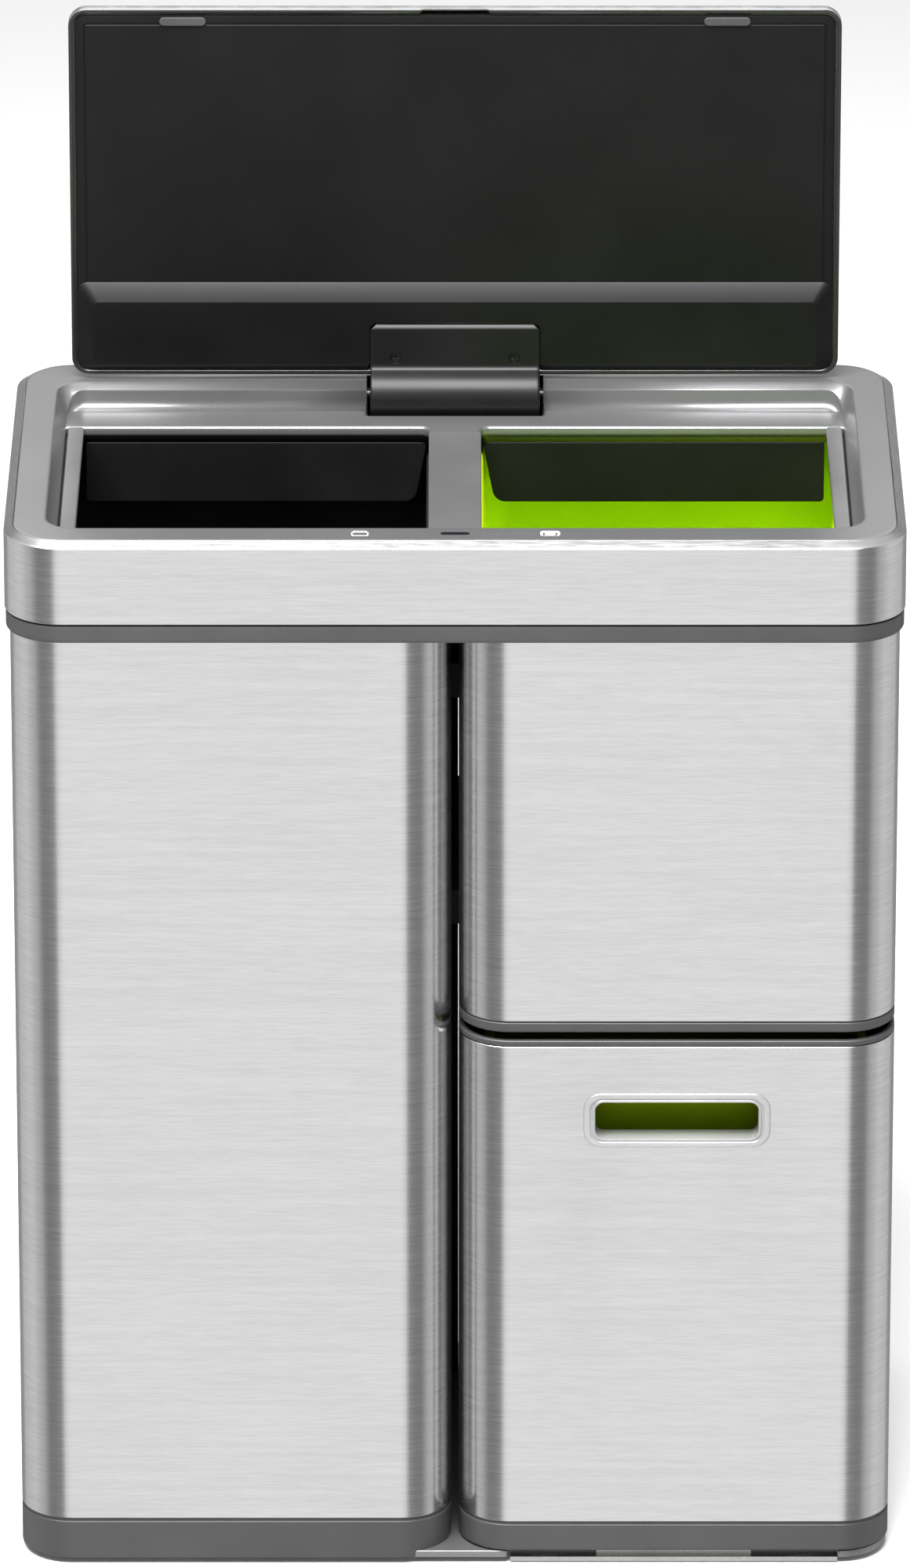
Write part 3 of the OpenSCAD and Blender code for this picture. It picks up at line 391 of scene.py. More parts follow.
# Shade put into the colour: the drawer's bucket is the same lime plastic as the upper one, darker for the shade
# it lies in behind the hand opening.
SHADED_GREEN = moulded("lime_green_shaded_copy", (0.29, 0.43, 0.002), (0.34, 0.49, 0.004), 0.38, 900.0, 0.015)
BIN_BLACK = moulded("bin_black", (0.010, 0.010, 0.011), (0.016, 0.016, 0.017), 0.42, 900.0, 0.02)
RUBBER = moulded("rubber", (0.020, 0.020, 0.020), (0.034, 0.034, 0.034), 0.72, 1400.0, 0.06)
SCREW = moulded("blackened_screw", (0.020, 0.020, 0.021), (0.035, 0.035, 0.036), 0.30, 900.0, 0.02,
                Metallic=0.8)
ZINC = moulded("zinc_plated", (0.50, 0.50, 0.49), (0.66, 0.66, 0.65), 0.33, 420.0, 0.02, Metallic=1.0)
SENSOR = moulded("sensor_gloss", (0.006, 0.005, 0.008), (0.010, 0.009, 0.012), 0.10, 500.0, 0.004)
PRINT_LIGHT = moulded("print_light", (0.70, 0.70, 0.70), (0.80, 0.80, 0.80), 0.5)
PRINT_DARK = moulded("print_dark", (0.045, 0.045, 0.045), (0.065, 0.065, 0.065), 0.5)
ACETAL = moulded("natural_acetal", (0.74, 0.72, 0.64), (0.82, 0.80, 0.72), 0.36, 900.0, 0.02)
BRONZE = moulded("sintered_bronze", (0.42, 0.27, 0.12), (0.56, 0.38, 0.18), 0.42, 2400.0, 0.06, Metallic=1.0)
BOARD = moulded("solder_mask", (0.012, 0.12, 0.035), (0.02, 0.17, 0.05), 0.28, 300.0, 0.02)
CELLS = moulded("cell_wrap", (0.44, 0.30, 0.06), (0.56, 0.40, 0.09), 0.25, 200.0, 0.01)

carried_over = {
    "base_screws": ZINC, "upper_floor_pan": BLACK, "column_joiners": BLACK, "joiner_bolts": ZINC,
    "slide_rails": ZINC, "collar_frame": BLACK, "mechanism_tray": BLACK, "battery_cells": CELLS,
    "battery_cover": DARK, "control_board": BOARD, "gearmotor": DARK, "motor_can": ZINC,
    "bearing_blocks": DARK, "hinge_bushes": BRONZE, "switch_bezel": BLACK, "power_switch": DARK,
    "hinge_shaft": SCREW, "lid_gear": ACETAL, "drive_gear": ACETAL, "drive_shaft": ZINC,
    "drawer_floor": BLACK, "drawer_runners": ZINC, "slide_carriage": ZINC,
}
for node, finish in carried_over.items():
    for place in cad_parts[node].material_slots:
        place.material = finish

# ---- columns --------------------------------------------------------------------------------------

COLUMN_R = 34       # plan corner of a column
RING_WALL = 4       # wall of the dark rings
JOINT_IN = 1        # how deep the joints lie behind the rings
JOINT_H = 2.5       # height of the joint over a base ring


def column_outline(place, **stops):
    return arc_path(rect(place.x0, place.x1, place.y0, place.y1, COLUMN_R, **stops), steps=16)


def base_ring_profile(z0, z1, joint):
    """Wall of a base ring with a set-back joint on top of it."""
    return [(0, z0, 1.2), (0, z1 - joint, 0.7), (JOINT_IN, z1 - joint, 0.2), (JOINT_IN, z1, 0.3),
            (RING_WALL, z1, 0.3), (RING_WALL, z0, 0.5)]


left = Place("left_column_shell")
upper = Place("upper_column_shell")
for name, node, place in (("left_column_skin", "left_column_shell", left),
                          ("upper_column_skin", "upper_column_shell", upper)):
    piece(name, "cabinet", Shape().wall(column_outline(place), SHEET, place.z0, place.z1), STEEL,
          [node])
left_outline, right_outline = column_outline(left), column_outline(upper)
piece("left_foot_ring", "cabinet",
      Shape().ring(left_outline, base_ring_profile(Place("left_base_ring").z0, left.z0, JOINT_H)),
      DARK, ["left_base_ring"])
piece("upper_foot_ring", "cabinet",
      Shape().ring(right_outline, base_ring_profile(Place("upper_base_ring").z0, upper.z0, 1.3)),
      DARK, ["upper_base_ring"])

back = Place("rear_panel")
corner_y = upper.y1 - COLUMN_R
first = math.asin((back.y0 - corner_y) / COLUMN_R)
turn = np.linspace(first, math.pi / 2, 14)
right_arc = np.column_stack([back.x1 - COLUMN_R + COLUMN_R * np.cos(turn), corner_y + COLUMN_R * np.sin(turn)])
right_arc[:, 0] += upper.x1 - back.x1
back_outline = np.concatenate([
    [[right_arc[0, 0] - KEEP, back.y0]], right_arc, [[right_arc[-1, 0] - KEEP, back.y1]],
    [[2 * upper.cx - right_arc[-1, 0] + KEEP, back.y1]],
    (right_arc * [-1, 1] + [2 * upper.cx, 0])[::-1], [[2 * upper.cx - right_arc[0, 0] + KEEP, back.y0]]])
piece("back_panel_skin", "cabinet", Shape().wall(back_outline, 1.5, back.z0, back.z1), STEEL,
      ["rear_panel"])

plate = Place("base_plate")
PLATE_MID = 36.5    # half width of the web between the columns
PLATE_Y = 164.8     # half depth of the plate under the left column
SLOT_X0, SLOT_X1, SLOT_Y = 35.2, 256.8, -155        # slot in the front for the slide's foot
plate_outline = arc_path([
    (plate.x0, -PLATE_Y, 30), (-PLATE_MID, -PLATE_Y, 1), (-PLATE_MID, plate.y0, 1.5), (SLOT_X0, plate.y0, 1.5),
    (SLOT_X0, SLOT_Y, 2), (SLOT_X1, SLOT_Y, 2), (SLOT_X1, plate.y0, 1.5), (plate.x1, plate.y0, 32),
    (plate.x1, plate.y1, 32), (-PLATE_MID, plate.y1, 1.5), (-PLATE_MID, PLATE_Y, 1), (plate.x0, PLATE_Y, 30)],
    steps=8)
piece("floor_plate", "cabinet", Shape().plate(plate_outline, plate.z0, plate.z1, 0.7), SATIN,
      ["base_plate"])

feet = Shape()
FOOT_X, FOOT_Y = 250, 127.5
for x in (-FOOT_X, 0, FOOT_X):
    for y in (-FOOT_Y, FOOT_Y):
        feet.turned([(9, 0.9), (10.5, 0.9), (11.5, 0), (13, 0), (13.8, 0.6), (14, 1.4), (14, 4)], (x, y, 0))
piece("rubber_feet", "cabinet", feet, RUBBER, ["feet"])

# ---- dark ring under the collar: a plate with a hole for each column, made as two mirrored halves ------

top_ring = Place("top_ring")
RING_Z0, RING_R = left.z1, 37.2
HOLE = 4.5          # how far each column hole lies inside the column
ring_half = Shape()
ring_loops = []
for a, z in ((3, RING_Z0), (1.2, RING_Z0), (0.35, RING_Z0 + 0.35), (0, RING_Z0 + 1.2), (0, RING_Z0 + 3),
             (0, top_ring.z1 - 3), (0, top_ring.z1 - 1.2), (0.35, top_ring.z1 - 0.35), (1.2, top_ring.z1)):
    ring_loops.append(at_height(arc_path(
        [(0, top_ring.y0 + a, 1e-3), (top_ring.x1 - a, top_ring.y0 + a, RING_R - a),
         (top_ring.x1 - a, top_ring.y1 - a, RING_R - a), (0, top_ring.y1 - a, 1e-3)], steps=16), z))
for a, z in ((-2, top_ring.z1), (0, top_ring.z1), (0, RING_Z0), (-1, RING_Z0)):
    ring_loops.append(at_height(arc_path(
        rect(upper.x0 + HOLE - a, upper.x1 - HOLE + a, upper.y0 + HOLE - a, upper.y1 - HOLE + a,
             COLUMN_R - HOLE + a), steps=16), z))
ring_half.grid(ring_loops, wrap=True, drop=lambda c: np.abs(c[:, 0]) < 0.01)
collar_ring = Shape().join(ring_half).join(ring_half, mirror_x, flip=True)
piece("collar_ring", "cabinet", collar_ring, DARK, ["top_ring"])

# ---- steel band of the collar -----------------------------------------------------------------------

band = Place("collar_band")
BAND_R = 38
BEVEL_W, BEVEL_H = 6, 4
switch = Place("switch_bezel")
SWITCH_GAP = 0.1    # gap of the band round the switch
band_outline = arc_path(rect(band.x0, band.x1, band.y0, band.y1, BAND_R, 
                             rear=(switch.x0 - SWITCH_GAP, switch.x1 + SWITCH_GAP)), steps=20)
band_profile = [(1.2, band.z0 + 0.15), (0.35, band.z0 + 0.15), (0, band.z0 + 0.6), (0, band.z0 + 2),
                (0, switch.z0 - SWITCH_GAP), (0, switch.z1 + SWITCH_GAP)]
bend = arc_path([(0, band.z1 - 8, 0), (0, band.z1 - BEVEL_H, 1.6), (BEVEL_W, band.z1, 0)], closed=False,
                steps=5, keep=1)
band_profile += [tuple(p) for p in bend] + [(BEVEL_W + 0.25, band.z1 - 0.1), (BEVEL_W + 0.35, band.z1 - 0.9)]


def switch_cut(c):
    """Quads of the band in front of the switch."""
    return ((np.abs(c[:, 0] - switch.cx) < 9) & (c[:, 1] > 0) & (np.abs(c[:, 2] - switch.cz) < 4))


piece("steel_band", "top", Shape().carried(band_outline, band_profile, drop=switch_cut), STEEL,
      ["collar_band"], sheet=1.0)

# ---- moulded rim: land, recess walls, ledge and lip --------------------------------------------------

rim = Place("top_rim")
LAND_R, RECESS_R = 31.6, 20
recess = (-267.5, 267.5, -143.5, 134.5)
POCKET_X, POCKET_Y0, POCKET_Y1 = 59.5, 114.5, 146
stops = (-POCKET_X, POCKET_X)
land_outline = arc_path(rect(rim.x0, rim.x1, rim.y0, rim.y1, LAND_R, rear=stops), steps=14)
recess_outline = arc_path(rect(*recess, RECESS_R, rear=stops), steps=14)
tangent = unit(np.roll(recess_outline, -1, 0) - np.roll(recess_outline, 1, 0))
rearness = np.clip(-tangent[:, 0], 0, 1)        # 1 on the rear run, 0 on the sides and the front
rearness = rearness * rearness * (3 - 2 * rearness)
TOP = rim.z1
LEDGE_Z = TOP - 17
land_rings = [at_height(inset(land_outline, a), TOP - drop) for a, drop in
              ((0, 6), (0, 0.7), (0.1, 0.3), (0.3, 0.1), (0.7, 0), (2.2, 0))]
fillet = [(12.5 - 6 * math.cos(a), LEDGE_Z + 6 - 6 * math.sin(a)) for a in np.linspace(0, math.pi / 2, 6)]
side_walls = [(-8, TOP), (-1.6, TOP), (-0.5, TOP - 0.02), (0.02, TOP - 0.25), (0.35, TOP - 0.9),
              (5.9, LEDGE_Z + 1.5), (6.35, LEDGE_Z + 0.5), (6.5, LEDGE_Z - 0.2)]
rear_walls = [(-11.5, TOP), (-1.6, TOP), (-0.5, TOP - 0.02), (0.1, TOP - 0.15), (0.8, TOP - 0.5),
              (5.6, TOP - 3.45), (6.3, TOP - 4.0), (6.5, TOP - 4.9)]
side_walls += [(6.5, LEDGE_Z - 0.8 - 0.8 * i) for i in range(6)] + [(7.2, LEDGE_Z - 5.9), (12.5, LEDGE_Z - 6)]
rear_walls += fillet + [(14, LEDGE_Z - 0.2), (16, LEDGE_Z - 1)]
recess_rings = [at_height(inset(recess_outline, (1 - rearness) * a + rearness * b),
                          (1 - rearness) * za + rearness * zb)
                for (a, za), (b, zb) in zip(side_walls, rear_walls)]


def pocket_cut(c):
    """Quads of the rim over the hinge pocket."""
    return (np.abs(c[:, 0]) < POCKET_X) & (c[:, 1] > POCKET_Y0 - 12) & (c[:, 1] < POCKET_Y1)


rim_shape = Shape().grid(land_rings + recess_rings, drop=pocket_cut)
LEDGE_X, LEDGE_Y, LIP_Y, NECK_X, NECK_Y = 264, 131, 92, 17.5, 83
ledge_outline = arc_path([
    (-LEDGE_X, LEDGE_Y, 3), (-LEDGE_X, LIP_Y, 3), (-NECK_X, LIP_Y, 6), (-NECK_X, NECK_Y - 3, 3),
    (NECK_X, NECK_Y - 3, 3), (NECK_X, LIP_Y, 6), (LEDGE_X, LIP_Y, 3), (LEDGE_X, LEDGE_Y, 3),
    (POCKET_X, LEDGE_Y, 3), (POCKET_X, POCKET_Y0, 2), (-POCKET_X, POCKET_Y0, 2), (-POCKET_X, LEDGE_Y, 3)],
    steps=8)
lip_profile = [(0, LEDGE_Z - 11), (0, LEDGE_Z - 3.4)] + [
    (2.2 * (1 - math.cos(a)), LEDGE_Z - 2.2 * (1 - math.sin(a))) for a in np.linspace(0, math.pi / 2, 6)] + [
    (2.9, LEDGE_Z)]
rim_shape.carried(ledge_outline, lip_profile, caps=(False, True))
piece("moulded_rim", "top", rim_shape, RIM, ["top_rim"], sheet=1.5)

tray = Place("mechanism_tray")
pocket_outline = arc_path(rect(-POCKET_X - 0.4, POCKET_X + 0.4, POCKET_Y0 - 0.4, 161.8, 1.0), steps=4)
front_low = np.clip((120 - pocket_outline[:, 1]) / 4, 0, 1)
pocket_top = (TOP - 2.2) * (1 - front_low) + (LEDGE_Z - 2.7) * front_low
piece("hinge_pocket", "top", Shape().grid(
    [at_height(pocket_outline, tray.z1 + 0.1), at_height(pocket_outline, pocket_top),
     at_height(inset(pocket_outline, 0.8), pocket_top), at_height(inset(pocket_outline, 0.8), tray.z1 + 0.1)],
    wrap=True), BLACK)

comb = Place("liner_frame")
STRIP = 10.5
inner_x, strip_y, bridge_y = comb.x1 - STRIP, comb.y0 + STRIP, NECK_Y - 0.3
comb_outline = arc_path([
    (comb.x0, comb.y1, 1.7), (comb.x0, comb.y0, 12), (comb.x1, comb.y0, 12), (comb.x1, comb.y1, 1.7),
    (inner_x, comb.y1, 1.7), (inner_x, strip_y, 6), (NECK_X, strip_y, 6), (NECK_X, bridge_y, 1.7),
    (-NECK_X, bridge_y, 1.7), (-NECK_X, strip_y, 6), (-inner_x, strip_y, 6), (-inner_x, comb.y1, 1.7)], steps=8)
piece("liner_comb", "bag_frame", Shape().plate(comb_outline, comb.z0, comb.z1, 0.8), SATIN,
      ["liner_frame"])

for name, node, side in (("left_flap_housing", "housing_left", -1), ("right_flap_housing", "housing_right", 1)):
    house = Place(node)
    low, high = sorted((house.x0 * side, house.x1 * side))
    outline = arc_path([(low, house.z1, 2.2), (low + 8.1, house.z0, 9), (high, house.z0, 3),
                        (high, house.z1, 2.2)], steps=8)
    if side < 0:
        outline = (outline * [-1, 1])[::-1]
    piece(name, "top", Shape().plate(outline, -house.y1, -house.y0, 1.0), BLACK, [node],
          change=facing_front)

# ---- sensor and printed marks on the front land ------------------------------------------------------

lens = Place("sensor_window")
pill = arc_path(rect(lens.x0, lens.x1, lens.y0, lens.y1, (lens.y1 - lens.y0) / 2 - 0.3), steps=12, keep=0.3)
dome = [(3.2 * (1 - math.sin(a)), lens.z1 - 0.5 + 0.5 * math.cos(a)) for a in np.linspace(math.pi / 2, 0.1, 7)]
piece("sensor_lens", "top", Shape().carried(pill, [(0, lens.z0), (0, lens.z1 - 0.6)] + dome,
                                            caps=(True, True)), SENSOR, ["sensor_window"])
marks = Place("indicator_lines")
lines = Shape()
for x in (-42, -24, 24, 42):
    lines.plate(arc_path(rect(x - 5.5, x + 5.5, lens.cy - 0.45, lens.cy + 0.45, 0.4), steps=4, keep=0.2),
                marks.z0, marks.z1, 0.04)
piece("light_lines", "top", lines, PRINT_DARK, ["indicator_lines"])

signs = Place("touch_icons")


def outline_mark(shape, x0, x1, y0, y1, r, line=0.75):
    """A rounded frame drawn with one line width."""
    return shape.wall(arc_path(rect(x0, x1, y0, y1, r), steps=5, keep=0.3), line, signs.z0, signs.z1, 0.02)


icons = Shape()
ICON_X = 62
for side in (-1, 1):
    x = side * ICON_X
    outline_mark(icons, x - 5.6, x + 5.6, lens.cy - 4.4, lens.cy + 2.6, 1.6)
    if side < 0:
        outline_mark(icons, x - 4.4, x + 4.4, lens.cy + 2.0, lens.cy + 4.5, 0.9)
    else:
        outline_mark(icons, x - 3.4, x + 3.4, lens.cy - 2.6, lens.cy + 0.8, 0.8)
        outline_mark(icons, x - 6.3, x + 6.3, lens.cy - 4.5, lens.cy + 4.5, 2.4)
piece("compartment_icons", "top", icons, PRINT_LIGHT, ["touch_icons"])

# ---- lid --------------------------------------------------------------------------------------------

x0, x1, y0, y1, z0, z1 = closed_place(Place("lid_skin"))
LID_R, HEM = 12, 3.8
NOTCH, RUN_OUT = 21, 3      # half width of the finger notch, and where its ends fade
lid_outline = arc_path(rect(x0, x1, y0, y1, LID_R, front=[
    side * (NOTCH + RUN_OUT * part) for side in (-1, 1) for part in (0, 0.5, 1)]), steps=12)
at_front = lid_outline[:, 1] < y0 + 0.1
in_notch = at_front * np.clip((NOTCH + RUN_OUT - np.abs(lid_outline[:, 0])) / RUN_OUT, 0, 1)
hem = HEM * (1 - in_notch * 0.9)
hem_z = z0 + 0.05
lid_profile = [(hem, hem_z), (hem * 0.3, hem_z)]
lid_profile += [(hem * 0.237 * (1 - math.sin(a)), hem_z + 0.9 * (1 - math.cos(a)))
                for a in np.linspace(0, math.pi / 2, 5)]
lid_profile += [(0, z0 + 2.2), (0, z1 - 4)]
lid_profile += [(2.6 * (1 - math.cos(a)), z1 - 2.6 * (1 - math.sin(a))) for a in np.linspace(0, math.pi / 2, 7)]
lid_profile += [(4.4, z1)]
piece("lid_shell", "lid", Shape().carried(lid_outline, lid_profile, caps=(False, True)), LID_STEEL,
      ["lid_skin"], change=opened, sheet=0.9)

x0, x1, y0, y1, z0, z1 = closed_place(Place("lid_liner"))
liner_outline = arc_path(rect(x0, x1, y0, y1, LID_R - HEM), steps=10)
piece("lid_inner", "lid", Shape().carried(
    liner_outline, [(8.0, z0), (7.4, z0), (7.0, z0 + 0.45), (6.4, z0 + 0.45), (6.0, z0), (1.0, z0),
                    (0.3, z0 + 0.2), (0, z0 + 0.7), (0, z1)], caps=(True, True)), LINER,
      ["lid_liner"], change=opened)

arm_x1, arm_y0 = closed_place(Place("hinge_arm"))[1:3]
x0, x1, y0, y1, z0, z1 = closed_place(Place("liner_panel"))


def panel_outline(side, front, rear, edge):
    """Outline of the raised panel with the gap round the arm cut from its rear."""
    gap_x, gap_y = arm_x1 + 0.3, arm_y0 - 0.3
    return arc_path([(x0 + side, y0 + front, edge), (x1 - side, y0 + front, edge), (x1 - side, y1 - rear, edge),
                     (gap_x, y1 - rear, 2), (gap_x, gap_y, 5), (-gap_x, gap_y, 5), (-gap_x, y1 - rear, 2),
                     (x0 + side, y1 - rear, edge)], steps=8)


face, foot = panel_outline(10, 12, 4, 4), panel_outline(0, 0, 0, 7)
panel = Shape()
rings = [at_height(inset(face, a), z0 + lift) for a, lift in ((1.9, 0), (1.0, 0), (0.45, 0.05), (0.1, 0.2))]
rings += [at_height(face * (1 - s) + foot * s, z0 + (z1 - z0) * (0.07 + 0.86 * s)) for s in (0.06, 0.95)]
rings += [at_height(foot, z1 - 0.1), at_height(foot, z1 + 0.25)]
panel.grid(rings, caps=(True, True))
piece("lid_panel", "lid", panel, LINER, ["liner_panel"], change=opened)

bumpers = Shape()
BUMPER_X, BUMPER_HALF = 181.6, 15.5
y0, y1, z0, z1 = closed_place(Place("lid_bumpers"))[2:]
for x in (-BUMPER_X, BUMPER_X):
    bumpers.plate(arc_path(rect(x - BUMPER_HALF, x + BUMPER_HALF, y0, y1, 2.9), steps=8, keep=0.4), z0, z1, 0.7)
piece("lid_buffers", "lid", bumpers, RUBBER, ["lid_bumpers"], change=opened)

# Hinge arm: its profile in Y and Z is a bevelled plate that runs through a hollow curve into a barrel
BARREL_R, FILLET_R, BEVEL, CORNER, ROUND = 20.5, 5, 3.2, 5.0, 1.4
BARREL_END = -0.5263        # sine of the angle at which the barrel stops, under its rear
SCREW_X, SCREW_Y, WELL_R, PATCH, CUTS = 40.0, 110.94, 3.75, 4.3, 6      # PATCH holds a well, in CUTS cells
plate_z = shaft.cz - 5.5
reach = BARREL_R + FILLET_R
fillet_c = np.array([shaft.cy - math.sqrt(reach ** 2 - (shaft.cz - plate_z + FILLET_R) ** 2),
                     plate_z - FILLET_R])
meet = math.atan2(fillet_c[1] - shaft.cz, fillet_c[0] - shaft.cy)
curve = np.linspace(math.pi / 2, meet + math.pi, 9)
hollow = fillet_c + FILLET_R * np.column_stack([np.cos(curve), np.sin(curve)])
round_ = np.linspace(meet, math.asin(BARREL_END), 34)
barrel = [shaft.cy, shaft.cz] + BARREL_R * np.column_stack([np.cos(round_), np.sin(round_)])
well_y = np.linspace(SCREW_Y - PATCH, SCREW_Y + PATCH, CUTS + 1)
lid_rear = closed_place(Place("lid_skin"))[3] + 0.35
back_y, seat_z, top_z = barrel[-1, 0], shaft.cz + 0.4, shaft.cz + 5
start = [[arm_y0, seat_z], [arm_y0, plate_z + 2.6], [arm_y0 + 0.25, plate_z + 2.2],
         [arm_y0 + BEVEL - 0.3, plate_z + 0.12], [arm_y0 + BEVEL + 0.2, plate_z],
         [arm_y0 + BEVEL + 1.5, plate_z]]
arm_profile = np.concatenate([
    start, np.column_stack([well_y, np.full(CUTS + 1, plate_z)]), hollow[1:], barrel[1:],
    [[back_y, shaft.cz], [back_y, top_z - 0.6], [back_y - 0.6, top_z], [lid_rear, top_z], [lid_rear, seat_z]]])


def arm_reach(y):
    """Half width of the arm: full, less the round of its two corners at the free end."""
    d = np.clip(CORNER - (y - arm_y0), 0, CORNER)
    return arm_x1 - (CORNER - np.sqrt(CORNER ** 2 - d ** 2))


ends = [(ROUND * (1 - math.sin(a)), ROUND * (1 - math.cos(a))) for a in np.linspace(0, math.pi / 2, 5)]
arm_rings = []
for a, back_off in [(2.2, 0)] + ends + [(0, 3)]:
    loop = inset(arm_profile, a)
    arm_rings.append(at_height(loop, -(arm_reach(arm_profile[:, 0]) - back_off)))
for x in np.linspace(-SCREW_X - PATCH, -SCREW_X + PATCH, CUTS + 1):
    arm_rings.append(at_height(arm_profile, x))
arm_rings += [r * [1, 1, -1] for r in arm_rings[::-1]]


def well_cut(c):
    """Quads of the plate's face that the screw wells take."""
    return ((np.abs(np.abs(c[:, 2]) - SCREW_X) < PATCH) & (np.abs(c[:, 0] - SCREW_Y) < PATCH)
            & (np.abs(c[:, 1] - plate_z) < 0.01))


arm = Shape().grid(arm_rings, caps=(True, True), drop=well_cut)
side = np.linspace(-PATCH, PATCH, CUTS + 1)[:-1]
far = np.full(CUTS, PATCH)
square = np.concatenate([np.column_stack(run) for run in
                         ((side, -far), (far, side), (-side, far), (-far, -side))])
for x in (-SCREW_X, SCREW_X):
    loops = [(square, 0)] + [(unit(square) * r, depth) for r, depth in (
        (4.15, 0), (3.95, 0.06), (3.8, 0.25), (WELL_R, 0.6), (WELL_R, 2.9))]
    arm.grid([np.column_stack([spot[:, 0] + SCREW_Y, np.full(len(spot), plate_z + depth), spot[:, 1] + x])
              for spot, depth in loops], caps=(False, True))
piece("hinge_arm_body", "lid", arm, ARM, ["hinge_arm"], change=lambda p: opened(across(p)))

HEAD_R, SLOT_HALF, SLOT_LENGTH = 3.7, 0.62, 2.4
head_z0, head_z1 = closed_place(Place("arm_screws"))[4:]
radius = np.array([0, 0.3, 0.55, 0.8, 1.1, 1.5, 1.9, 2.2, 2.45, 2.8, 3.2, 3.5, 3.66, HEAD_R])
angle = np.linspace(0, 2 * math.pi, 48, endpoint=False)
across_head, along_head = np.outer(radius, np.cos(angle)), np.outer(radius, np.sin(angle))


def slot_depth(u, v):
    """Depth of one slot of the cross: full within its width and length, sloped at its sides."""
    return np.clip((SLOT_HALF - np.abs(u)) / 0.25, 0, 1) * np.clip((SLOT_LENGTH - np.abs(v)) / 0.4, 0, 1)


cross = np.maximum(slot_depth(across_head, along_head), slot_depth(along_head, across_head))
crown = 0.35 * (radius / HEAD_R) ** 2
height = head_z0 + crown[:, None] + 0.9 * cross
screws = Shape()
for x in (-SCREW_X, SCREW_X):
    grid = np.stack([across_head + x, along_head + SCREW_Y, height], -1)
    skirt = np.stack([across_head[-1] + x, along_head[-1] + SCREW_Y, np.full(len(angle), head_z1)], -1)
    screws.grid([skirt] + list(grid[::-1]), caps=(True, False))
piece("cross_screws", "lid", Shape().join(screws, flip=True), SCREW, ["arm_screws"],
      change=opened)

# ---- buckets ----------------------------------------------------------------------------------------

BUCKET_R, BUCKET_RIM, BUCKET_WALL, TAPER, FLOOR = 26, 4, 2, 8, 3


def bucket(place):
    """A bin liner bucket: tapering outer wall, rolled rim, inner wall and floor in one profile."""
    outline = arc_path(rect(place.x0, place.x1, place.y0, place.y1, BUCKET_R), steps=12)
    out, inn = BUCKET_RIM, BUCKET_RIM + BUCKET_WALL
    low, high = place.z0, place.z1
    profile = [
        (out + TAPER + 4, low), (out + TAPER + 1, low + 0.4), (out + TAPER, low + 2.5), (out + 0.15, high - 4),
        (out - 0.2, high - 3), (0.7, high - 3), (0.15, high - 2.5), (0, high - 1.5), (0.3, high - 0.6),
        (1.0, high - 0.1), (2.0, high), (inn - 2, high), (inn - 0.8, high - 0.3), (inn - 0.2, high - 1.2),
        (inn, high - 2.4), (inn + TAPER - 0.3, low + FLOOR + 5), (inn + TAPER + 1.2, low + FLOOR + 1.4),
        (inn + TAPER + 4, low + FLOOR), (inn + TAPER + 8, low + FLOOR)]
    return Shape().carried(outline, profile, caps=(True, True))


for name, node, body, finish, slot in (
        ("left_bin_bucket", "left_bucket", "left_bin", BIN_BLACK, "black_plastic"),
        ("upper_bin_bucket", "upper_bucket", "upper_bin", GREEN, "green_plastic"),
        ("drawer_bin_bucket", "drawer_bucket", "drawer_bin", SHADED_GREEN, "green_plastic")):
    piece(name, body, bucket(Place(node)), finish, [node])

# ---- drawer -----------------------------------------------------------------------------------------

drawer = Place("drawer_shell")
bezel = Place("handle_bezel")
trim = Place("drawer_top_trim")
foot_ring = Place("drawer_base_ring")
DRAWER_REAR_R = 6
HOLE_X, HOLE_Z = 57.2, 16.05
drawer_outline = arc_path(rect(drawer.x0, drawer.x1, drawer.y0, drawer.y1, COLUMN_R, DRAWER_REAR_R,
                               front=(bezel.cx - HOLE_X, bezel.cx + HOLE_X)), steps=16)


def hand_cut(c):
    """Quads of the drawer's front behind the bezel."""
    return ((np.abs(c[:, 0] - bezel.cx) < HOLE_X) & (np.abs(c[:, 2] - bezel.cz) < HOLE_Z)
            & (c[:, 1] < drawer.y0 + 1))


levels = [drawer.z0, drawer.z0 + 1, bezel.cz - HOLE_Z, bezel.cz + HOLE_Z, drawer.z1 - 1, drawer.z1]
piece("drawer_skin", "drawer", Shape().carried(drawer_outline, [(0, z) for z in levels], drop=hand_cut), STEEL,
      ["drawer_shell"], sheet=SHEET, edge=EDGE)
TRIM_JOINT = 0.8
piece("drawer_trim", "drawer", Shape().ring(drawer_outline, [
    (JOINT_IN, drawer.z1, 0.2), (JOINT_IN, drawer.z1 + TRIM_JOINT, 0.2), (0, drawer.z1 + TRIM_JOINT, 0.3),
    (0, trim.z1, 1.1), (RING_WALL, trim.z1, 0.5), (RING_WALL, drawer.z1, 0.3)]), DARK,
    ["drawer_top_trim"])
GAP_X = 10          # how far from its sides the drawer's ring is cut away at the rear
cut_from, cut_to = drawer.x0 + GAP_X, drawer.x1 - GAP_X
ring_outline = arc_path(rect(drawer.x0, drawer.x1, drawer.y0, drawer.y1, COLUMN_R, DRAWER_REAR_R,
                             rear=(cut_from - 0.1, cut_from, cut_to, cut_to + 0.1)), steps=16)
open_back = ((ring_outline[:, 1] > drawer.y1 - 0.01) & (ring_outline[:, 0] > cut_from - 0.05)
             & (ring_outline[:, 0] < cut_to + 0.05))
floor_z = Place("drawer_floor").z0
ring_profile = arc_path(base_ring_profile(foot_ring.z0, drawer.z0, 2.4), steps=3, keep=1)
ring_rings = [at_height(inset(ring_outline, a), np.where(open_back, max(z, floor_z), z))
              for a, z in ring_profile]
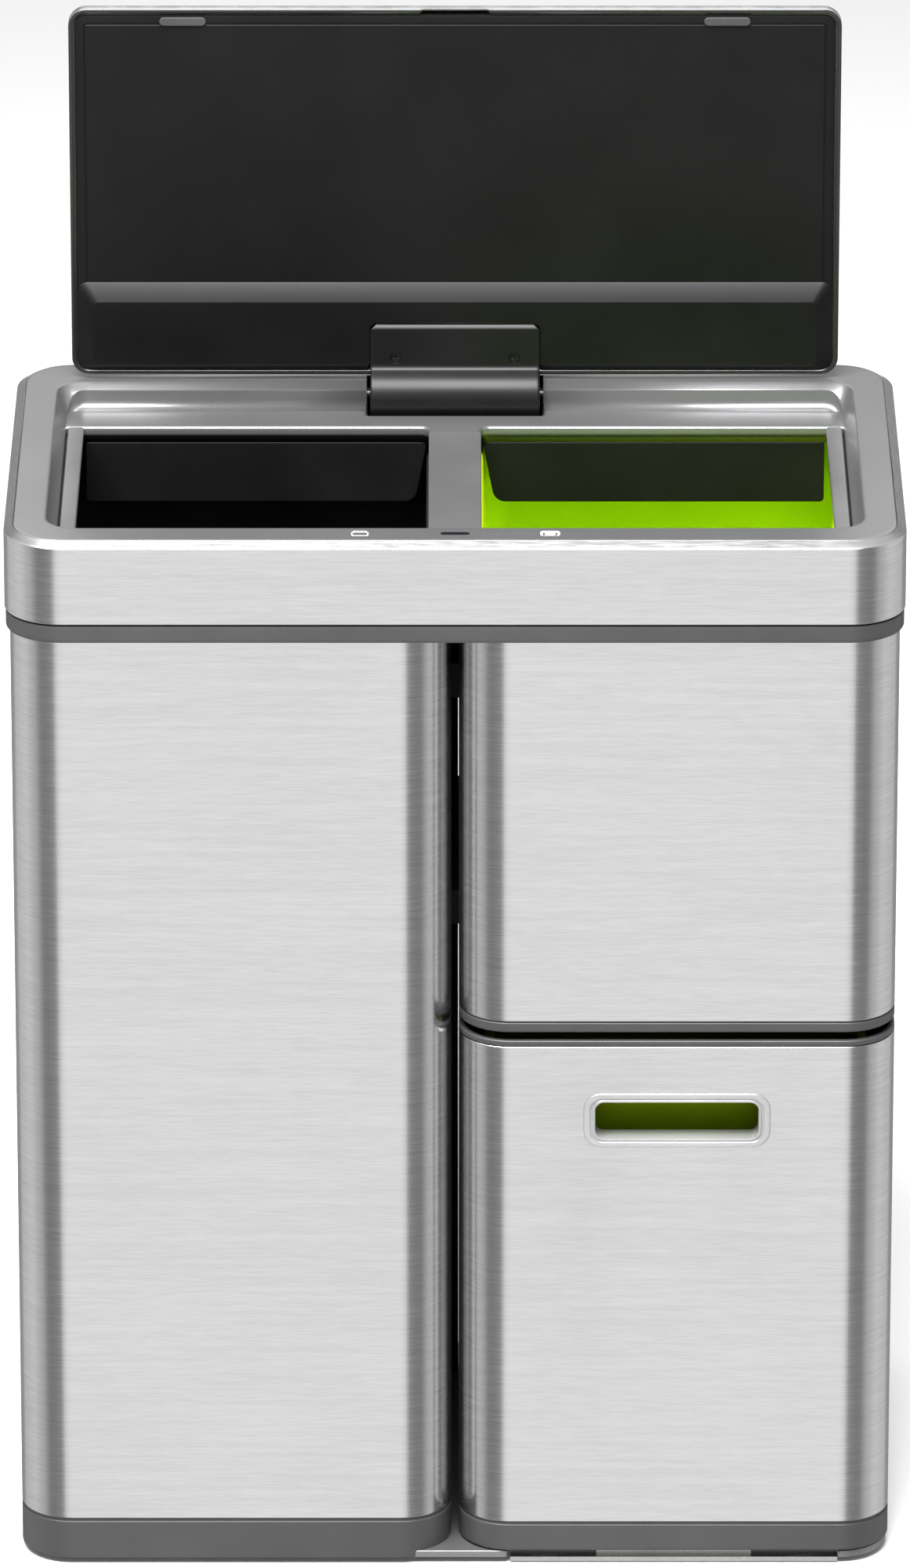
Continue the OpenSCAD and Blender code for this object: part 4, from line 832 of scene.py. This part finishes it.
piece("drawer_foot_ring", "drawer", Shape().grid(ring_rings, wrap=True), DARK,
      ["drawer_base_ring"])

front = -bezel.y0
bezel_shape = Shape().grid([
    at_height(arc_path(rect(bezel.cx - w, bezel.cx + w, bezel.cz - h, bezel.cz + h, r), steps=10, keep=1), out)
    for w, h, r, out in (
        (57, 15.85, 9, front - 1.2), (62, 19.25, 12, front - 1.2), (62, 19.25, 12, front - 0.5),
        (61.8, 19.05, 11.8, front - 0.2), (61.4, 18.7, 11.4, front - 0.04), (60.9, 18.2, 10.9, front),
        (58.2, 16.3, 9.3, front), (57.6, 15.8, 8.9, front - 0.1), (57.0, 15.3, 8.5, front - 0.7),
        (56.4, 14.8, 8.0, front - 0.75), (55.9, 14.4, 7.6, front - 0.15), (55.4, 14.0, 7.2, front),
        (54.9, 13.6, 6.8, front), (54.3, 13.1, 6.3, front - 0.25), (54, 12.85, 6, front - 0.9),
        (54, 12.85, 6, -bezel.y1 + 1), (54.6, 13.4, 6.6, -bezel.y1), (57, 15.85, 9, -bezel.y1))], wrap=True)
piece("hand_bezel", "drawer", bezel_shape, BEZEL, ["handle_bezel"], change=facing_front)

# ---- floor, light and camera ------------------------------------------------------------------------

floor_mesh = bpy.data.meshes.new("studio_floor")
FLOOR_HALF = 12.0
floor_mesh.from_pydata([(FLOOR_HALF * x, FLOOR_HALF * y, 0) for x, y in ((-1, -1), (1, -1), (1, 1), (-1, 1))],
                       [], [(0, 1, 2, 3)])
studio_floor = bpy.data.objects.new("studio_floor", floor_mesh)
bpy.context.scene.collection.objects.link(studio_floor)
paper = Finish("pale_paper", Roughness=0.9)
paper.feed("Base Color", paper.mix(paper.noise(3.0, 2.0), (0.86, 0.86, 0.86), (0.90, 0.90, 0.90)))
floor_mesh.materials.append(paper.material)
studio_floor.visible_glossy = False

bpy.context.scene.view_settings.view_transform = "Standard"
world = bpy.data.worlds.new("studio")
bpy.context.scene.world = world
world.use_nodes = True
room = Board(world.node_tree, "Background")
heading = room.maths("ARCTAN2", room.axis("X", "Generated"), room.axis("Y", "Generated"))
# Grey of the studio's walls against the turn away from +Y, from 0 straight ahead to 1 behind
stops_of_room = ((0.0, 0.35), (0.20, 0.30), (0.30, 0.62), (0.50, 0.72), (0.62, 0.55), (0.74, 0.24),
                 (0.88, 0.28), (0.95, 0.97), (1.0, 1.03))
walls = room.node("ShaderNodeValToRGB", {}, {0: heading.math("ABSOLUTE") / math.pi})
ramp = walls.socket.node.color_ramp
ramp.interpolation = "EASE"
while len(ramp.elements) < len(stops_of_room):
    ramp.elements.new(0.5)
for element, (position, value) in zip(ramp.elements, stops_of_room):
    element.position = position
    element.color = (value, value, value, 1)
room.feed("Color", walls)


def softbox(name, place, target, size, power):
    """A rectangular area light that faces a point."""
    lamp = bpy.data.lights.new(name, "AREA")
    lamp.shape, lamp.size, lamp.size_y, lamp.energy = "RECTANGLE", size[0], size[1], power
    lamp_object = bpy.data.objects.new(name, lamp)
    bpy.context.scene.collection.objects.link(lamp_object)
    lamp_object.location = place
    lamp_object.rotation_euler = (Vector(target) - Vector(place)).to_track_quat("-Z", "Y").to_euler()


softbox("key_softbox", (-0.4, -1.2, 2.9), (0, 0, 0.6), (2.2, 1.4), 285)
softbox("rear_softbox", (0.2, 1.9, 2.2), (0, 0, 0.6), (2.4, 1.0), 14)

CAMERA_AWAY, CAMERA_TILT, CAMERA_AIM, CAMERA_SHIFT, CAMERA_FOCAL = 8.0, 20.92, 0.6655, 0.15, 15340
FRAME_HEIGHT = 2000     # the focal length above is in parts of this
camera_data = bpy.data.cameras.new("camera")
camera = bpy.data.objects.new("camera", camera_data)
bpy.context.scene.collection.objects.link(camera)
tilt = math.radians(CAMERA_TILT)
camera.location = (0, -CAMERA_AWAY * math.cos(tilt), CAMERA_AIM + CAMERA_AWAY * math.sin(tilt))
camera.rotation_euler = (math.pi / 2 - tilt, 0, 0)
camera_data.lens = CAMERA_FOCAL / FRAME_HEIGHT * camera_data.sensor_width
camera_data.shift_y = -CAMERA_SHIFT
camera_data.clip_start, camera_data.clip_end = 0.1, 100
bpy.context.scene.camera = camera

bpy.context.view_layer.update()
